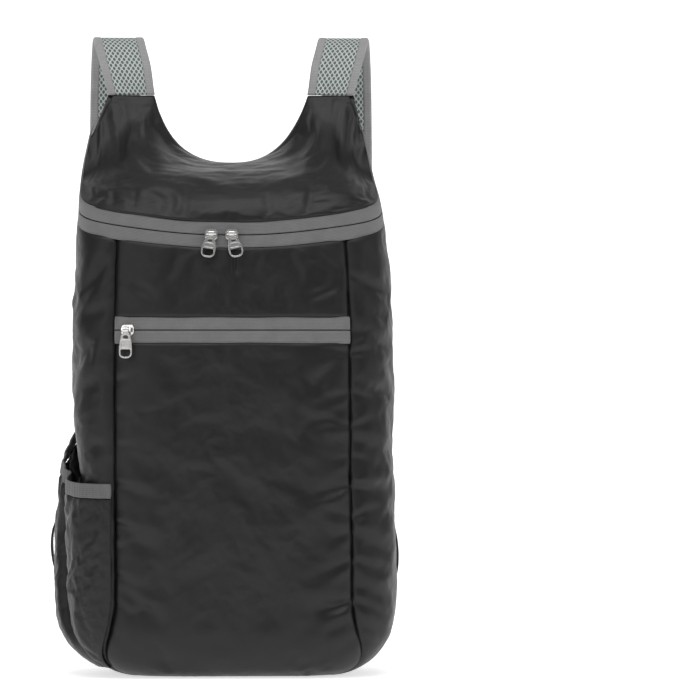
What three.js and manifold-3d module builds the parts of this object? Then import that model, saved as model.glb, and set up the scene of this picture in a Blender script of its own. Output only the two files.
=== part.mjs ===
// A packable day backpack standing on its base, stuffed out to its full shape.
// X runs across the bag, -Y is its front, +Z is up, and the origin is the middle of the flat base.
import * as THREE from 'three';
import { mergeVertices } from 'three/addons/utils/BufferGeometryUtils.js';
import Module from 'manifold-3d';

const wasm = await Module();
wasm.setup();

// Driving dimensions in millimetres.
const halfWidth = 128;          // middle of the bag to its widest side
const frontDepth = 72;          // middle of the bag to the front cloth
const backDepth = 68;           // middle of the bag to the back cloth
const cornerRadius = 50;        // rounding of the bottom corners, seen from the front
const frontToeRadius = 36;      // rounding of the bottom edge at the front
const backToeRadius = 30;       // rounding of the bottom edge at the back
const clothThickness = 1.2;
const seamGap = 0.3;            // clearance between neighbouring pieces
const seamSink = 1.6;           // how deep a seam pulls into the cloth
const seamSinkReach = 5;        // how far beside the seam the cloth is pulled in
const frontSeamX = 93.6;        // middle of the bag to the front seams
const backSeamX = 118;          // middle of the bag to the back seams
const backSeamTop = 0.985;      // share of the half width at which the back seams reach the main chain's ends

const zipHeight = 352;          // main chain over the base, at the middle of the front
const zipRise = 75;             // how much higher the main chain ends at the back seams
const tapeWidth = 9;            // one zip tape beside the chain
const tapeThickness = 0.9;
const chainSlot = 0.7;          // open line between the two tapes
const coilWidth = 4.6;
const coilThickness = 1.6;
const pocketZipHeight = 276.5;  // pocket chain over the base

const neckHeight = 415;         // lowest point of the neckline
const neckCurve = 2.5;          // how late the neckline turns up towards the wing tips
const wingTipHeight = 470;
const wingTipInner = 63;        // middle of the bag to the inner corner of a wing tip
const wingTipOuter = 101;       // middle of the bag to the outer corner of a wing tip
const wingLean = 4;             // how far the wing tips lean back
const wingFlatness = 0.97;      // share of the back's depth at which the flat wing tips stand
const lidTipShare = 0.13;       // share of the way round the lid from either end to the wing tip's inner corner
const lidEndShare = 0.05;      // share of the way round that is left straight at either end
const lidRoundness = 1.15;      // how full the lid is on its way back
const lidSteepnessEnd = 1.2;    // how late the lid turns up towards the back, at its ends and elsewhere
const lidSteepness = 2.4;

const pocketMouthFront = 155;   // upper edge of the side pocket at the front seam
const pocketMouthBack = 206;    // upper edge of the side pocket at the back seam
const pocketMouthCurve = 2.6;   // how late the pocket's upper edge rises towards the back seam
const pocketFoot = 7;           // lower edge of the side pocket over the base
const pocketSlack = 3;          // how far the whole pocket stands off
const pocketBulge = 14;         // how far the rear lobe of the pocket stands off
const pocketFrontLobe = 4;      // how far the front lobe stands off
const pocketHold = 0.6;         // below 1 the pocket rises more steeply beside its seams
const pocketMargin = 0.01;      // share of the way across that the pocket leaves free at either seam
const creaseFoot = 0.02;        // share of the way back at which the crease between the lobes starts
const creaseTop = 0.52;         // and at which it meets the band
const creaseBend = 4.2;         // how quickly the crease turns backwards above the foot
const rearLobeLean = 0.7;       // below 1 the rear lobe is fullest near the crease
const rearLobeFullness = 0.8;
const rearLobeFoot = 0.12;      // part of its half wave at which the rear lobe starts at the foot
const rearLobeTop = 0.84;       // and with which it ends under the band
const pocketDip = 13;           // how far the side behind the pocket is pushed in
const dipFoot = 0.33;           // share of pocketMouthFront over which that dip begins
const dipTop = 0.75;            // share of pocketMouthFront above which it fades
const dipFade = 0.42;
const bandWidth = 11.5;
const bandThickness = 1.5;
const bandStandOff = 0.4;       // how far the band stands proud of the pocket's cloth
const gatherDepth = 1.1;
const gatherCount = 7;
const gatherReach = 26;         // how far the gathers run down from the band

const strapWidth = 42;          // widest, over the arch
const strapThickness = 4;
const bindingWidth = 7.5;
const bindingThickness = 4.8;
const archRise = 47;            // top of the strap's arch over the wing tips, along its middle
const archReach = 54;           // how far the arch carries the strap behind the wing
const strapSplay = 16;          // how far the strap moves outwards on its way down
const padEndHeight = 226;       // lower end of the padded strap over the base

const webWidth = 20;
const webThickness = 1.4;
const webBowLeft = 44;          // how far the left lower webbing bows out sideways
const webBowRight = 31;
const anchorHeight = 46;        // where the lower webbing is sewn in, over the base
const tailHeight = 54;          // lower end of the free webbing tail over the base
const tailBowLeft = 27;         // how far the left tail swings outwards
const tailBowRight = 4;
const tailSlack = 5;            // how far the tail stands off behind
const tapeLap = 13;             // how far the loop tape runs along the pad
const barTurnDepth = 0.62;      // depth of the flat turn round a bar, as a share of a round one

const lockWidth = 31;
const lockHeight = 25;
const lockThickness = 3;
const lockBar = 4.2;            // each cross bar of the ladder lock
const lockSlotWidth = 24;
const lockRounding = 2.5;
const slotRounding = 1;

const sliderLength = 10.4;
const sliderWidth = 8.6;
const sliderThickness = 2.4;
const sliderRounding = 2.6;
const sliderBevel = 0.5;
const barRadius = 0.9;          // cross bar that carries the pull tab
const barClearance = 0.35;
const knuckleWall = 1.1;
const knuckleLength = 4.4;
const earThickness = 1.3;
const earWidth = 3.4;
const cheekRadius = 1.9;        // round head of each ear
const tabThickness = 1.5;
const mainTabLength = 22;
const mainTabWidth = 11.2;
const pocketTabLength = 25;
const pocketTabWidth = 10.4;
const tabNeckWidth = 6.6;
const tabShoulder = 3;          // from the knuckle to where the tab begins to widen
const tabFlank = 4;             // straight side of the tab over its round end
const tabRounding = 0.42;       // radius of the tab's lower corners, as a share of its width
const tabHoleWidth = 7;
const tabHoleHeight = 4.8;
const tabHoleRounding = 1.9;
const tabRim = 2;               // metal left below the tab's hole
const leftSliderX = -15.6;
const rightSliderX = 0.4;
const pocketSliderX = -82;
const tabCant = 7;              // degrees that the two main tabs lean apart

// Shape of the bag from the base up: heights as shares of zipHeight, half widths as shares of halfWidth,
// depths as shares of frontDepth and backDepth.
const bodyRows = [
  { height: 0.0, left: 0.965, right: 1.0, front: 0.91, back: 0.95 },
  { height: 0.14, left: 0.98, right: 1.025, front: 0.95, back: 0.97 },
  { height: 0.28, left: 0.988, right: 1.032, front: 0.99, back: 1.0 },
  { height: 0.45, left: 0.988, right: 1.016, front: 1.0, back: 1.0 },
  { height: 0.65, left: 0.988, right: 1.014, front: 0.99, back: 1.0 },
  { height: 0.82, left: 0.984, right: 1.006, front: 0.95, back: 0.98 },
  { height: 0.94, left: 0.974, right: 0.988, front: 0.87, back: 0.95 },
  { height: 1.0, left: 0.968, right: 0.97, front: 0.82, back: 0.93 },
  { height: 1.06, left: 0.96, right: 0.952, front: 0.76, back: 0.91 },
  { height: 1.13, left: 0.95, right: 0.91, front: 0.7, back: 0.89 },
  { height: 1.22, left: 0.922, right: 0.87, front: 0.64, back: 0.87 },
  { height: 1.3, left: 0.895, right: 0.845, front: 0.6, back: 0.86 },
];
const toeRows = 5;
const frontRows = 20;
const frontUpperRows = 5;
const goreRows = 17;
const backRows = 15;
const lidRows = 8;
const pocketRows = 10;
const frontColumns = 12;
const goreColumns = 8;
const zipColumns = goreColumns + frontColumns + goreColumns;
const backColumns = 18;
const pocketColumns = 25;
const pocketRowSpread = 1.4;    // how much closer the pocket's rows lie near its foot
const strapSteps = 20;
const loopSteps = 22;
const webSteps = 38;
const holeSteps = 3;            // steps on each bend of a hole's outline
const tabSteps = 4;
const ringSteps = 5;            // and on each half of a knuckle's
const barSides = 10;
const angleStep = 0.02;         // radians between two places that give a direction round the bag
const frontSquareness = 4.2;
const backSquareness = 4.6;
const toeSeamShare = 0.95;      // share of the half width at which the seams reach the base
const toeSpread = 0.62;         // share of cornerRadius over which the seams spread to it
const chainBend = 3;            // how sharply the main chain turns up at the front corners
const chainReach = 0.97;        // share of that bend which the chain runs through
const steepestTape = 1.1;       // slope above which the tapes narrow towards their ends

// Soft dents and creases of the cloth. at: share of the way round the panel, up: share of zipHeight,
// wide and tall: reach as shares of the panel's width and zipHeight, deep: millimetres inwards.
const dents = [
  { panel: 'front', at: 0.16, up: 0.165, wide: 0.1, tall: 0.035, deep: 3.2 },
  { panel: 'front', at: 0.95, up: 0.17, wide: 0.08, tall: 0.03, deep: 3.0 },
  { panel: 'front', at: 0.5, up: 0.3, wide: 0.35, tall: 0.1, deep: 2.4 },
  { panel: 'front', at: 0.03, up: 0.43, wide: 0.06, tall: 0.012, deep: 2.0 },
  { panel: 'front', at: 0.03, up: 0.35, wide: 0.065, tall: 0.012, deep: 2.0 },
  { panel: 'front', at: 0.97, up: 0.7, wide: 0.07, tall: 0.014, deep: 2.0 },
  { panel: 'front', at: 0.97, up: 0.54, wide: 0.06, tall: 0.012, deep: 1.8 },
  { panel: 'front', at: 0.515, up: 0.935, wide: 0.015, tall: 0.02, deep: 1.0 },
  { panel: 'left', at: 0.45, up: 0.72, wide: 0.225, tall: 0.06, deep: 2.6 },
  { panel: 'right', at: 0.4, up: 0.42, wide: 0.27, tall: 0.1, deep: 3.0 },
  { panel: 'right', at: 0.5, up: 0.8, wide: 0.225, tall: 0.05, deep: 2.2 },
  { panel: 'right', at: 0.25, up: 0.14, wide: 0.225, tall: 0.05, deep: 2.4 },
];

// Strap route behind the wing tip. out: share of strapSplay, back: share of archReach, rise: share of
// archRise over the tip, fall: share of the way down from the tip to the pad's lower end, wide: share of
// strapWidth.
const strapRows = [
  { out: 0.0, back: 0.0, rise: 0.0, fall: 0.0, wide: 0.92 },
  { out: 0.25, back: 0.04, rise: 0.42, fall: 0.0, wide: 0.97 },
  { out: 0.55, back: 0.2, rise: 0.82, fall: 0.0, wide: 1.0 },
  { out: 0.72, back: 0.48, rise: 1.0, fall: 0.0, wide: 1.0 },
  { out: 0.82, back: 0.78, rise: 0.82, fall: 0.0, wide: 1.0 },
  { out: 0.9, back: 0.96, rise: 0.3, fall: 0.0, wide: 1.0 },
  { out: 0.95, back: 1.03, rise: 0.0, fall: 0.15, wide: 1.0 },
  { out: 0.95, back: 1.0, rise: 0.0, fall: 0.42, wide: 1.0 },
  { out: 0.98, back: 0.9, rise: 0.0, fall: 0.74, wide: 1.0 },
  { out: 1.0, back: 0.8, rise: 0.0, fall: 1.0, wide: 1.0 },
];

// Lower webbing from the ladder lock to the bottom corner. down: share of the drop, bow: share of the bow,
// in: share of the way back to the back seam, turn: share of a quarter turn that faces the webbing sideways.
const webRows = [
  { down: 0.0, bow: 0.0, in: 0.0, turn: 0.0 },
  { down: 0.14, bow: 0.1, in: 0.04, turn: 0.1 },
  { down: 0.34, bow: 0.62, in: 0.12, turn: 0.6 },
  { down: 0.56, bow: 1.0, in: 0.28, turn: 1.0 },
  { down: 0.78, bow: 0.82, in: 0.6, turn: 1.0 },
  { down: 0.93, bow: 0.34, in: 0.88, turn: 1.0 },
  { down: 1.0, bow: 0.1, in: 1.0, turn: 1.0 },
];

const cloth = { color: 0x17181a, roughness: 0.42, metalness: 0 };
const greyTape = { color: 0x6f6f70, roughness: 0.8, metalness: 0 };
const greyBand = { color: 0x68696b, roughness: 0.85, metalness: 0 };
const mesh = { color: 0x8d9492, roughness: 0.9, metalness: 0 };
const binding = { color: 0x808284, roughness: 0.8, metalness: 0 };
const webbing = { color: 0x111213, roughness: 0.8, metalness: 0 };
const plastic = { color: 0x0d0d0e, roughness: 0.45, metalness: 0 };
const nickel = { color: 0xc9c8c4, roughness: 0.22, metalness: 1 };

const dentFadeShare = 0.083;    // share of a panel beside its seams over which dents fade out
const dentFadeHeight = 20;      // distance below the main zip over which they fade out
const dentFadePocketZip = 12;   // distance beside the pocket zip over which they fade out

const { clamp, lerp, degToRad } = THREE.MathUtils;

// Smooth value of one column of a table at a place along its key column.
function tableValue(rows, key, column, place) {
  let i = 0;
  while (i < rows.length - 2 && place > rows[i + 1][key]) {
    i += 1;
  }
  const low = rows[i];
  const high = rows[i + 1];
  const before = rows[Math.max(i - 1, 0)];
  const after = rows[Math.min(i + 2, rows.length - 1)];
  const span = high[key] - low[key];
  const t = clamp((place - low[key]) / span, 0, 1);
  const slopeLow = (high[column] - before[column]) / Math.max(high[key] - before[key], 1e-9);
  const slopeHigh = (after[column] - low[column]) / Math.max(after[key] - low[key], 1e-9);
  const t2 = t * t;
  const t3 = t2 * t;
  return (2 * t3 - 3 * t2 + 1) * low[column] + (t3 - 2 * t2 + t) * span * slopeLow
    + (3 * t2 - 2 * t3) * high[column] + (t3 - t2) * span * slopeHigh;
}

// Plain value of one column at a share of the way through a table's rows.
function rowValue(rows, column, share) {
  const place = clamp(share, 0, 1) * (rows.length - 1);
  const low = Math.min(Math.floor(place), rows.length - 2);
  return lerp(rows[low][column], rows[low + 1][column], place - low);
}

function toeRounding(z, radius) {
  const below = clamp(radius - z, 0, radius);
  return radius - Math.sqrt(radius * radius - below * below);
}

// Half widths and depths of the bag at height z.
function section(z) {
  const share = z / zipHeight;
  return {
    left: halfWidth * tableValue(bodyRows, 'height', 'left', share) - toeRounding(z, cornerRadius),
    right: halfWidth * tableValue(bodyRows, 'height', 'right', share) - toeRounding(z, cornerRadius),
    front: frontDepth * tableValue(bodyRows, 'height', 'front', share) - toeRounding(z, frontToeRadius),
    back: backDepth * tableValue(bodyRows, 'height', 'back', share) - toeRounding(z, backToeRadius),
  };
}

// Height at which the wings leave the sides: where the main chain ends at the back seams.
const wingBase = zipHeight + zipRise;

// Share of the half width at which a seam runs: wider near the base, where the side narrows to a tip, and the
// back seams wider again on their way up to the ends of the main chain.
function seamShare(seam, z) {
  const plain = (seam === 'front' ? frontSeamX : backSeamX) / halfWidth;
  const spread = Math.exp(-Math.pow(z / (cornerRadius * toeSpread), 2));
  const climb = seam === 'front' ? 0 : clamp((z - pocketMouthBack) / (wingBase - pocketMouthBack), 0, 1);
  return plain + (toeSeamShare - plain) * spread + (backSeamTop - plain) * climb;
}

function squareDepth(share, depth, squareness) {
  return depth * Math.pow(Math.max(1 - Math.pow(Math.abs(share), squareness), 0), 1 / squareness);
}

// Angle round the bag, 0 at the middle of the front, growing to the right, of a seam at height z.
function seamAngle(side, seam, z) {
  const s = section(z);
  const width = side < 0 ? s.left : s.right;
  if (seam === 'front') {
    const share = seamShare('front', z);
    return side * Math.atan2(share * width, squareDepth(share, s.front, frontSquareness));
  }
  const share = seamShare('back', z);
  return side * Math.atan2(share * width, -squareDepth(share, s.back, backSquareness));
}

// Radius of the plain outline in the direction of an angle.
function outlineRadius(angle, z) {
  const s = section(z);
  const across = Math.abs(Math.sin(angle));
  const along = Math.abs(Math.cos(angle));
  const turned = Math.cos(angle) > 0;
  const width = Math.sin(angle) < 0 ? s.left : s.right;
  const depth = turned ? s.front : s.back;
  const squareness = turned ? frontSquareness : backSquareness;
  return Math.pow(Math.pow(across / width, squareness) + Math.pow(along / depth, squareness), -1 / squareness);
}

function bump(distance, reach) {
  return Math.exp(-Math.pow(distance / reach, 2));
}

// How far seams, dents and the side pocket's contents push the cloth inwards at a place on the bag.
function sinkAt(angle, z, radius) {
  const side = angle < 0 ? -1 : 1;
  const frontSeam = seamAngle(side, 'front', z);
  const backSeam = seamAngle(side, 'back', z);
  const fade = clamp(z / cornerRadius, 0, 1);
  let sink = seamSink * fade * bump((angle - frontSeam) * radius, seamSinkReach);
  const onFront = Math.abs(angle) < Math.abs(frontSeam);
  const onSide = !onFront && Math.abs(angle) < Math.abs(backSeam);
  const panel = onFront ? 'front' : side < 0 ? 'left' : 'right';
  const at = onFront
    ? (angle / Math.abs(frontSeam) + 1) / 2
    : (Math.abs(angle) - Math.abs(frontSeam)) / (Math.abs(backSeam) - Math.abs(frontSeam));
  const edge = clamp(Math.min(at, 1 - at) / dentFadeShare, 0, 1);
  const chain = clamp((chainHeight(angle) - tapeWidth - z) / dentFadeHeight, 0, 1);
  const nearZip = clamp((Math.abs(z - pocketZipHeight) - tapeWidth) / dentFadePocketZip, 0, 1);
  if (onFront || onSide) {
    for (const dent of dents.filter((row) => row.panel === panel)) {
      sink += dent.deep * fade * chain * (onFront ? edge * nearZip : edge)
        * bump(at - dent.at, dent.wide) * bump(z / zipHeight - dent.up, dent.tall);
    }
  }
  if (onSide && side < 0) {
    const up = clamp((z - pocketFoot) / (pocketMouthFront - pocketFoot), 0, 2);
    const grown = clamp(up / dipFoot, 0, 1) * bump(Math.max(up - dipTop, 0), dipFade);
    sink += pocketDip * Math.pow(Math.sin(Math.PI * at), 2) * grown;
  }
  return sink;
}

// Point on the outside of the bag.
function wall(angle, z) {
  const radius = outlineRadius(angle, z);
  const reach = radius - sinkAt(angle, z, radius);
  return new THREE.Vector3(reach * Math.sin(angle), -reach * Math.cos(angle), z);
}

// Height of the main chain at an angle round the bag.
function chainHeight(angle) {
  const full = Math.abs(seamAngle(Math.sign(angle) || 1, 'back', wingBase));
  const bend = (share) => 1 - Math.pow(1 - Math.pow(Math.min(share * chainReach, 1), chainBend), 1 / chainBend);
  return zipHeight + zipRise * bend(Math.abs(angle) / full) / bend(1);
}

// Height on the wall at a distance across the main chain, measured square to it.
function besideChain(angle, across) {
  const ahead = wall(angle + angleStep, chainHeight(angle + angleStep));
  const behind = wall(angle - angleStep, chainHeight(angle - angleStep));
  const rise = ahead.z - behind.z;
  const run = Math.hypot(ahead.x - behind.x, ahead.y - behind.y);
  return chainHeight(angle) + across * Math.hypot(1, Math.min(Math.abs(rise / run), steepestTape));
}

// Upper edge of the back cloth, from the seam (share -1 or 1) over a wing tip to the neckline (share 0).
function backEdgeHeight(share) {
  const corner = wingTipInner / wingTipOuter;
  return neckHeight + (wingTipHeight - neckHeight) * Math.pow(Math.min(Math.abs(share) / corner, 1), neckCurve);
}

// Point on the outside of the back cloth at a share across it, -1 and 1 being the back seams.
function backPoint(share, z, standOff = 0) {
  const low = Math.min(z, wingBase);
  const side = share < 0 ? -1 : 1;
  const s = section(low);
  const width = side < 0 ? s.left : s.right;
  const seamX = seamShare('back', low) * width;
  const up = clamp((z - wingBase) / (wingTipHeight - wingBase), 0, 1);
  const x = Math.abs(share) * lerp(seamX, wingTipOuter, up);
  const round = squareDepth(Math.abs(share) * seamX / width, s.back, backSquareness);
  const y = lerp(round, s.back * wingFlatness, up);
  return new THREE.Vector3(side * x, y + wingLean * up * up + standOff, z);
}

// Direction that a surface faces at a place on it.
function facing(surface, u, v) {
  const step = 1e-3;
  const alongU = surface(u + step, v).sub(surface(u - step, v));
  const alongV = surface(u, Math.min(v + step, 1)).sub(surface(u, Math.max(v - step, 0)));
  return alongU.cross(alongV).normalize();
}

// A closed wall of even thickness on a grid of points. depth is how far its outside lies under the surface, and
// faces gives the direction of its outside where that isn't the surface's own.
function wallGeometry(surface, across, along, thickness, depth = 0, faces = null) {
  const outer = [];
  const inner = [];
  for (let j = 0; j <= along; j += 1) {
    for (let i = 0; i <= across; i += 1) {
      const u = i / across;
      const v = j / along;
      const point = surface(u, v);
      const normal = (faces && faces(u, v)) || facing(surface, u, v);
      outer.push(point.clone().addScaledVector(normal, -depth));
      inner.push(point.addScaledVector(normal, -depth - thickness));
    }
  }
  const row = across + 1;
  const count = outer.length;
  const index = [];
  const quad = (a, b, c, d) => index.push(a, b, c, a, c, d);
  for (let j = 0; j < along; j += 1) {
    for (let i = 0; i < across; i += 1) {
      const a = j * row + i;
      quad(a, a + 1, a + row + 1, a + row);
      quad(count + a, count + a + row, count + a + row + 1, count + a + 1);
    }
  }
  for (let i = 0; i < across; i += 1) {
    const top = along * row + i;
    quad(i, count + i, count + i + 1, i + 1);
    quad(top, top + 1, count + top + 1, count + top);
  }
  for (let j = 0; j < along; j += 1) {
    const start = j * row;
    const end = start + across;
    quad(start, start + row, count + start + row, count + start);
    quad(end, count + end, count + end + row, end + row);
  }
  const geometry = new THREE.BufferGeometry();
  const corners = [...outer, ...inner].flatMap((p) => [p.x, p.y, p.z]);
  geometry.setAttribute('position', new THREE.Float32BufferAttribute(corners, 3));
  geometry.setIndex(index);
  geometry.computeVertexNormals();
  return geometry;
}

// Manifold solid of a closed three.js geometry, and back.
function solid(geometry) {
  const plain = geometry.clone();
  plain.deleteAttribute('normal');
  plain.deleteAttribute('uv');
  const merged = mergeVertices(plain, 1e-4);
  return new wasm.Manifold(new wasm.Mesh({
    numProp: 3,
    vertProperties: new Float32Array(merged.attributes.position.array),
    triVerts: new Uint32Array(merged.index.array),
  }));
}

function geometryOf(manifold) {
  const result = manifold.getMesh();
  const geometry = new THREE.BufferGeometry();
  geometry.setAttribute('position', new THREE.Float32BufferAttribute(result.vertProperties, 3));
  geometry.setIndex([...result.triVerts]);
  geometry.computeVertexNormals();
  return geometry;
}

function piece(name, geometry, look) {
  const result = new THREE.Mesh(geometry, new THREE.MeshStandardMaterial(look));
  result.name = name;
  return result;
}

// Angle at a share of the way between two seams at height z, keeping half a seam gap to each.
function angleBetween(from, to, share, z) {
  const start = from(z);
  const end = to(z);
  const hold = seamGap / 2 / outlineRadius(start, z);
  const letGo = seamGap / 2 / outlineRadius(end, z);
  return lerp(start + hold, end - letGo, share);
}

// Height at a share of the way up from the base, for a panel of so many rows: toeRows of them lie round the
// rounded bottom edge, at the same heights on every panel.
function heightUp(share, top, rows) {
  const bend = toeRows / rows;
  if (share < bend) {
    return cornerRadius * (1 - Math.cos((share / bend) * Math.PI / 2));
  }
  return lerp(cornerRadius, top, (share - bend) / (1 - bend));
}

const seams = {
  backLeft: (z) => seamAngle(-1, 'back', z),
  frontLeft: (z) => seamAngle(-1, 'front', z),
  frontRight: (z) => seamAngle(1, 'front', z),
  backRight: (z) => seamAngle(1, 'back', z),
};

// Point on a panel between two seams: v runs from the foot to the edge under the main zip.
function panelPoint(from, to, u, v, footOf, topOf) {
  let z = zipHeight;
  for (let pass = 0; pass < 4; pass += 1) {
    z = footOf(v, topOf(angleBetween(from, to, u, z)));
  }
  return wall(angleBetween(from, to, u, z), z);
}

const underMainTape = (angle) => besideChain(angle, -chainSlot / 2 - tapeWidth - seamGap);

function gorePanel(name, from, to) {
  const upTo = (share, top) => heightUp(share, top, goreRows);
  const surface = (u, v) => panelPoint(from, to, u, v, upTo, underMainTape);
  return piece(name, wallGeometry(surface, goreColumns, goreRows, clothThickness), cloth);
}

function frontPanels() {
  const lowerTop = pocketZipHeight - chainSlot / 2 - tapeWidth - seamGap;
  const upperFoot = pocketZipHeight + chainSlot / 2 + tapeWidth + seamGap;
  const { frontLeft, frontRight } = seams;
  const upTo = (share, top) => heightUp(share, top, frontRows);
  const lower = (u, v) => panelPoint(frontLeft, frontRight, u, v, upTo, () => lowerTop);
  const upper = (u, v) => panelPoint(frontLeft, frontRight, u, v,
    (share, top) => lerp(upperFoot, top, share), underMainTape);
  return [
    piece('front_panel_lower', wallGeometry(lower, frontColumns, frontRows, clothThickness), cloth),
    piece('front_panel_upper', wallGeometry(upper, frontColumns, frontUpperRows, clothThickness), cloth),
  ];
}

function backPanel() {
  const hold = 1 - seamGap / 2 / backSeamX;
  const surface = (u, v) => {
    const share = lerp(1, -1, u) * hold;
    return backPoint(share, heightUp(v, backEdgeHeight(share), backRows));
  };
  return piece('back_panel', wallGeometry(surface, backColumns, backRows, clothThickness), cloth);
}

// The base fills the feet of the four panels, a seam gap inside them.
function basePanel() {
  const { backLeft, frontLeft, frontRight, backRight } = seams;
  const foot = (from, to, columns) => Array.from({ length: columns }, (_, i) => (
    wall(angleBetween(from, to, i / columns, 0), 0)));
  const back = Array.from({ length: backColumns }, (_, i) => backPoint(lerp(1, -1, i / backColumns), 0));
  const rim = [
    ...foot(backLeft, frontLeft, goreColumns),
    ...foot(frontLeft, frontRight, frontColumns),
    ...foot(frontRight, backRight, goreColumns),
    ...back,
  ];
  const inset = 1.5 * seamGap;
  const outline = rim.map((point, i) => {
    const before = rim[(i + rim.length - 1) % rim.length];
    const after = rim[(i + 1) % rim.length];
    const along = new THREE.Vector2(after.x - before.x, after.y - before.y).normalize();
    return new THREE.Vector2(point.x - along.y * inset, point.y + along.x * inset);
  });
  const plate = new THREE.ExtrudeGeometry(new THREE.Shape(outline), {
    depth: clothThickness,
    bevelEnabled: false,
  });
  return piece('base_panel', plate, cloth);
}

// Angle at a share of the way round from back seam to back seam, in step with the columns of the cloth.
function zipAngle(share, z) {
  const { backLeft, frontLeft, frontRight, backRight } = seams;
  const column = clamp(share, 0, 1) * zipColumns;
  if (column < goreColumns) {
    const hold = seamGap / 2 / outlineRadius(backLeft(z), z);
    return lerp(backLeft(z) + hold, frontLeft(z), column / goreColumns);
  }
  if (column <= goreColumns + frontColumns) {
    return lerp(frontLeft(z), frontRight(z), (column - goreColumns) / frontColumns);
  }
  const letGo = seamGap / 2 / outlineRadius(backRight(z), z);
  return lerp(frontRight(z), backRight(z) - letGo, (column - goreColumns - frontColumns) / goreColumns);
}

// Point on the wall at a distance across the main chain, at a share of the way from back seam to back seam.
function mainZipPoint(share, across) {
  let z = wingBase;
  let angle = 0;
  for (let pass = 0; pass < 6; pass += 1) {
    angle = zipAngle(share, z);
    z = besideChain(angle, across);
  }
  return wall(angle, z);
}

// Strip of the wall beside the main chain, from one back seam round the front to the other.
function mainStrip(name, near, far, thickness, depth, look) {
  const surface = (u, v) => mainZipPoint(u, lerp(near, far, v));
  return piece(name, wallGeometry(surface, zipColumns, 1, thickness, depth), look);
}

function pocketStrip(name, near, far, thickness, depth, look) {
  const surface = (u, v) => {
    const z = pocketZipHeight + lerp(near, far, v);
    return wall(angleBetween(seams.frontLeft, seams.frontRight, u, z), z);
  };
  return piece(name, wallGeometry(surface, frontColumns, 1, thickness, depth), look);
}

function zips() {
  const near = chainSlot / 2;
  const far = near + tapeWidth;
  const under = tapeThickness + seamGap;
  return [
    mainStrip('main_zip_tape_lower', -far, -near, tapeThickness, 0, greyTape),
    mainStrip('main_zip_tape_upper', near, far, tapeThickness, 0, greyTape),
    mainStrip('main_zip_coil', -coilWidth / 2, coilWidth / 2, coilThickness, under, greyTape),
    pocketStrip('pocket_zip_tape_lower', -far, -near, tapeThickness, 0, greyTape),
    pocketStrip('pocket_zip_tape_upper', near, far, tapeThickness, 0, greyTape),
    pocketStrip('pocket_zip_coil', -coilWidth / 2, coilWidth / 2, coilThickness, under, greyTape),
  ];
}

// The lid runs from the upper tape over the bag's top to the back cloth: up the outer edge of the left wing,
// over its tip, along the neckline and the same way down the right wing.
function lidPanel() {
  const layers = 2 * clothThickness + 4 * seamGap;
  const foot = chainSlot / 2 + tapeWidth + seamGap;
  const backEnd = (u) => {
    const side = u < 0.5 ? -1 : 1;
    const reach = u < 0.5 ? u : 1 - u;
    const corner = wingTipInner / wingTipOuter;
    const share = reach < lidTipShare
      ? lerp(1 - seamGap / backSeamX, corner, reach / lidTipShare)
      : lerp(corner, 0, (reach - lidTipShare) / (0.5 - lidTipShare));
    return backPoint(side * share, backEdgeHeight(share), -layers);
  };
  const surface = (u, v) => {
    const spread = clamp(u, lidEndShare, 1 - lidEndShare);
    const edge = mainZipPoint(spread, foot);
    const end = backEnd(spread);
    const dome = Math.max(Math.min(neckHeight, end.z), edge.z);
    const turn = v * Math.PI / 2;
    const steepness = lerp(lidSteepnessEnd, lidSteepness, Math.min(Math.min(u, 1 - u) / lidTipShare, 1));
    return new THREE.Vector3(
      lerp(edge.x, end.x, v),
      lerp(edge.y, end.y, 1 - Math.pow(Math.cos(turn), lidRoundness)),
      edge.z + (dome - edge.z) * Math.sin(turn) + (end.z - dome) * Math.pow(v, steepness),
    );
  };
  const besideTape = (u, v) => mainZipPoint(u, foot + v);
  const faces = (u, v) => (v === 0 ? facing(besideTape, u, v) : null);
  return piece('lid_panel', wallGeometry(surface, zipColumns, lidRows, clothThickness, 0, faces), cloth);
}

// Upper edge of the side pocket at a share of the way from the front seam to the back seam.
function pocketMouth(share) {
  return pocketMouthFront + (pocketMouthBack - pocketMouthFront) * Math.pow(share, pocketMouthCurve);
}

// How far the side pocket stands off the plain side of the bag: two lobes with a deep crease between them, and
// gathers under the band. The crease runs from the middle of the band to the bottom corner.
function pocketStandOff(share, z) {
  const mouth = pocketMouth(share);
  const up = clamp((z - pocketFoot) / (mouth - pocketFoot), 0, 1);
  const crease = lerp(creaseTop, creaseFoot, Math.exp(-up * creaseBend));
  const hold = Math.pow(Math.sin(Math.PI * clamp(share, 0, 1)), pocketHold);
  const front = pocketFrontLobe * Math.sin(Math.PI * clamp(share / crease, 0, 1));
  const rearShare = clamp((share - crease) / (1 - crease), 0, 1);
  const rear = pocketBulge * Math.pow(Math.sin(Math.PI * Math.pow(rearShare, rearLobeLean)), rearLobeFullness)
    * Math.sin(Math.PI * lerp(rearLobeFoot, rearLobeTop, up));
  const gathers = gatherDepth * Math.cos(share * gatherCount * 2 * Math.PI)
    * Math.exp(-(mouth - z) / gatherReach);
  return clothThickness + 3 * seamGap + (pocketSlack + front + rear + gathers) * hold;
}

function pocketPoint(share, z, standOff) {
  const angle = angleBetween(seams.frontLeft, seams.backLeft, share, z);
  const plain = outlineRadius(angle, z) + pocketStandOff(share, z) + standOff;
  return new THREE.Vector3(plain * Math.sin(angle), -plain * Math.cos(angle), z);
}

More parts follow.
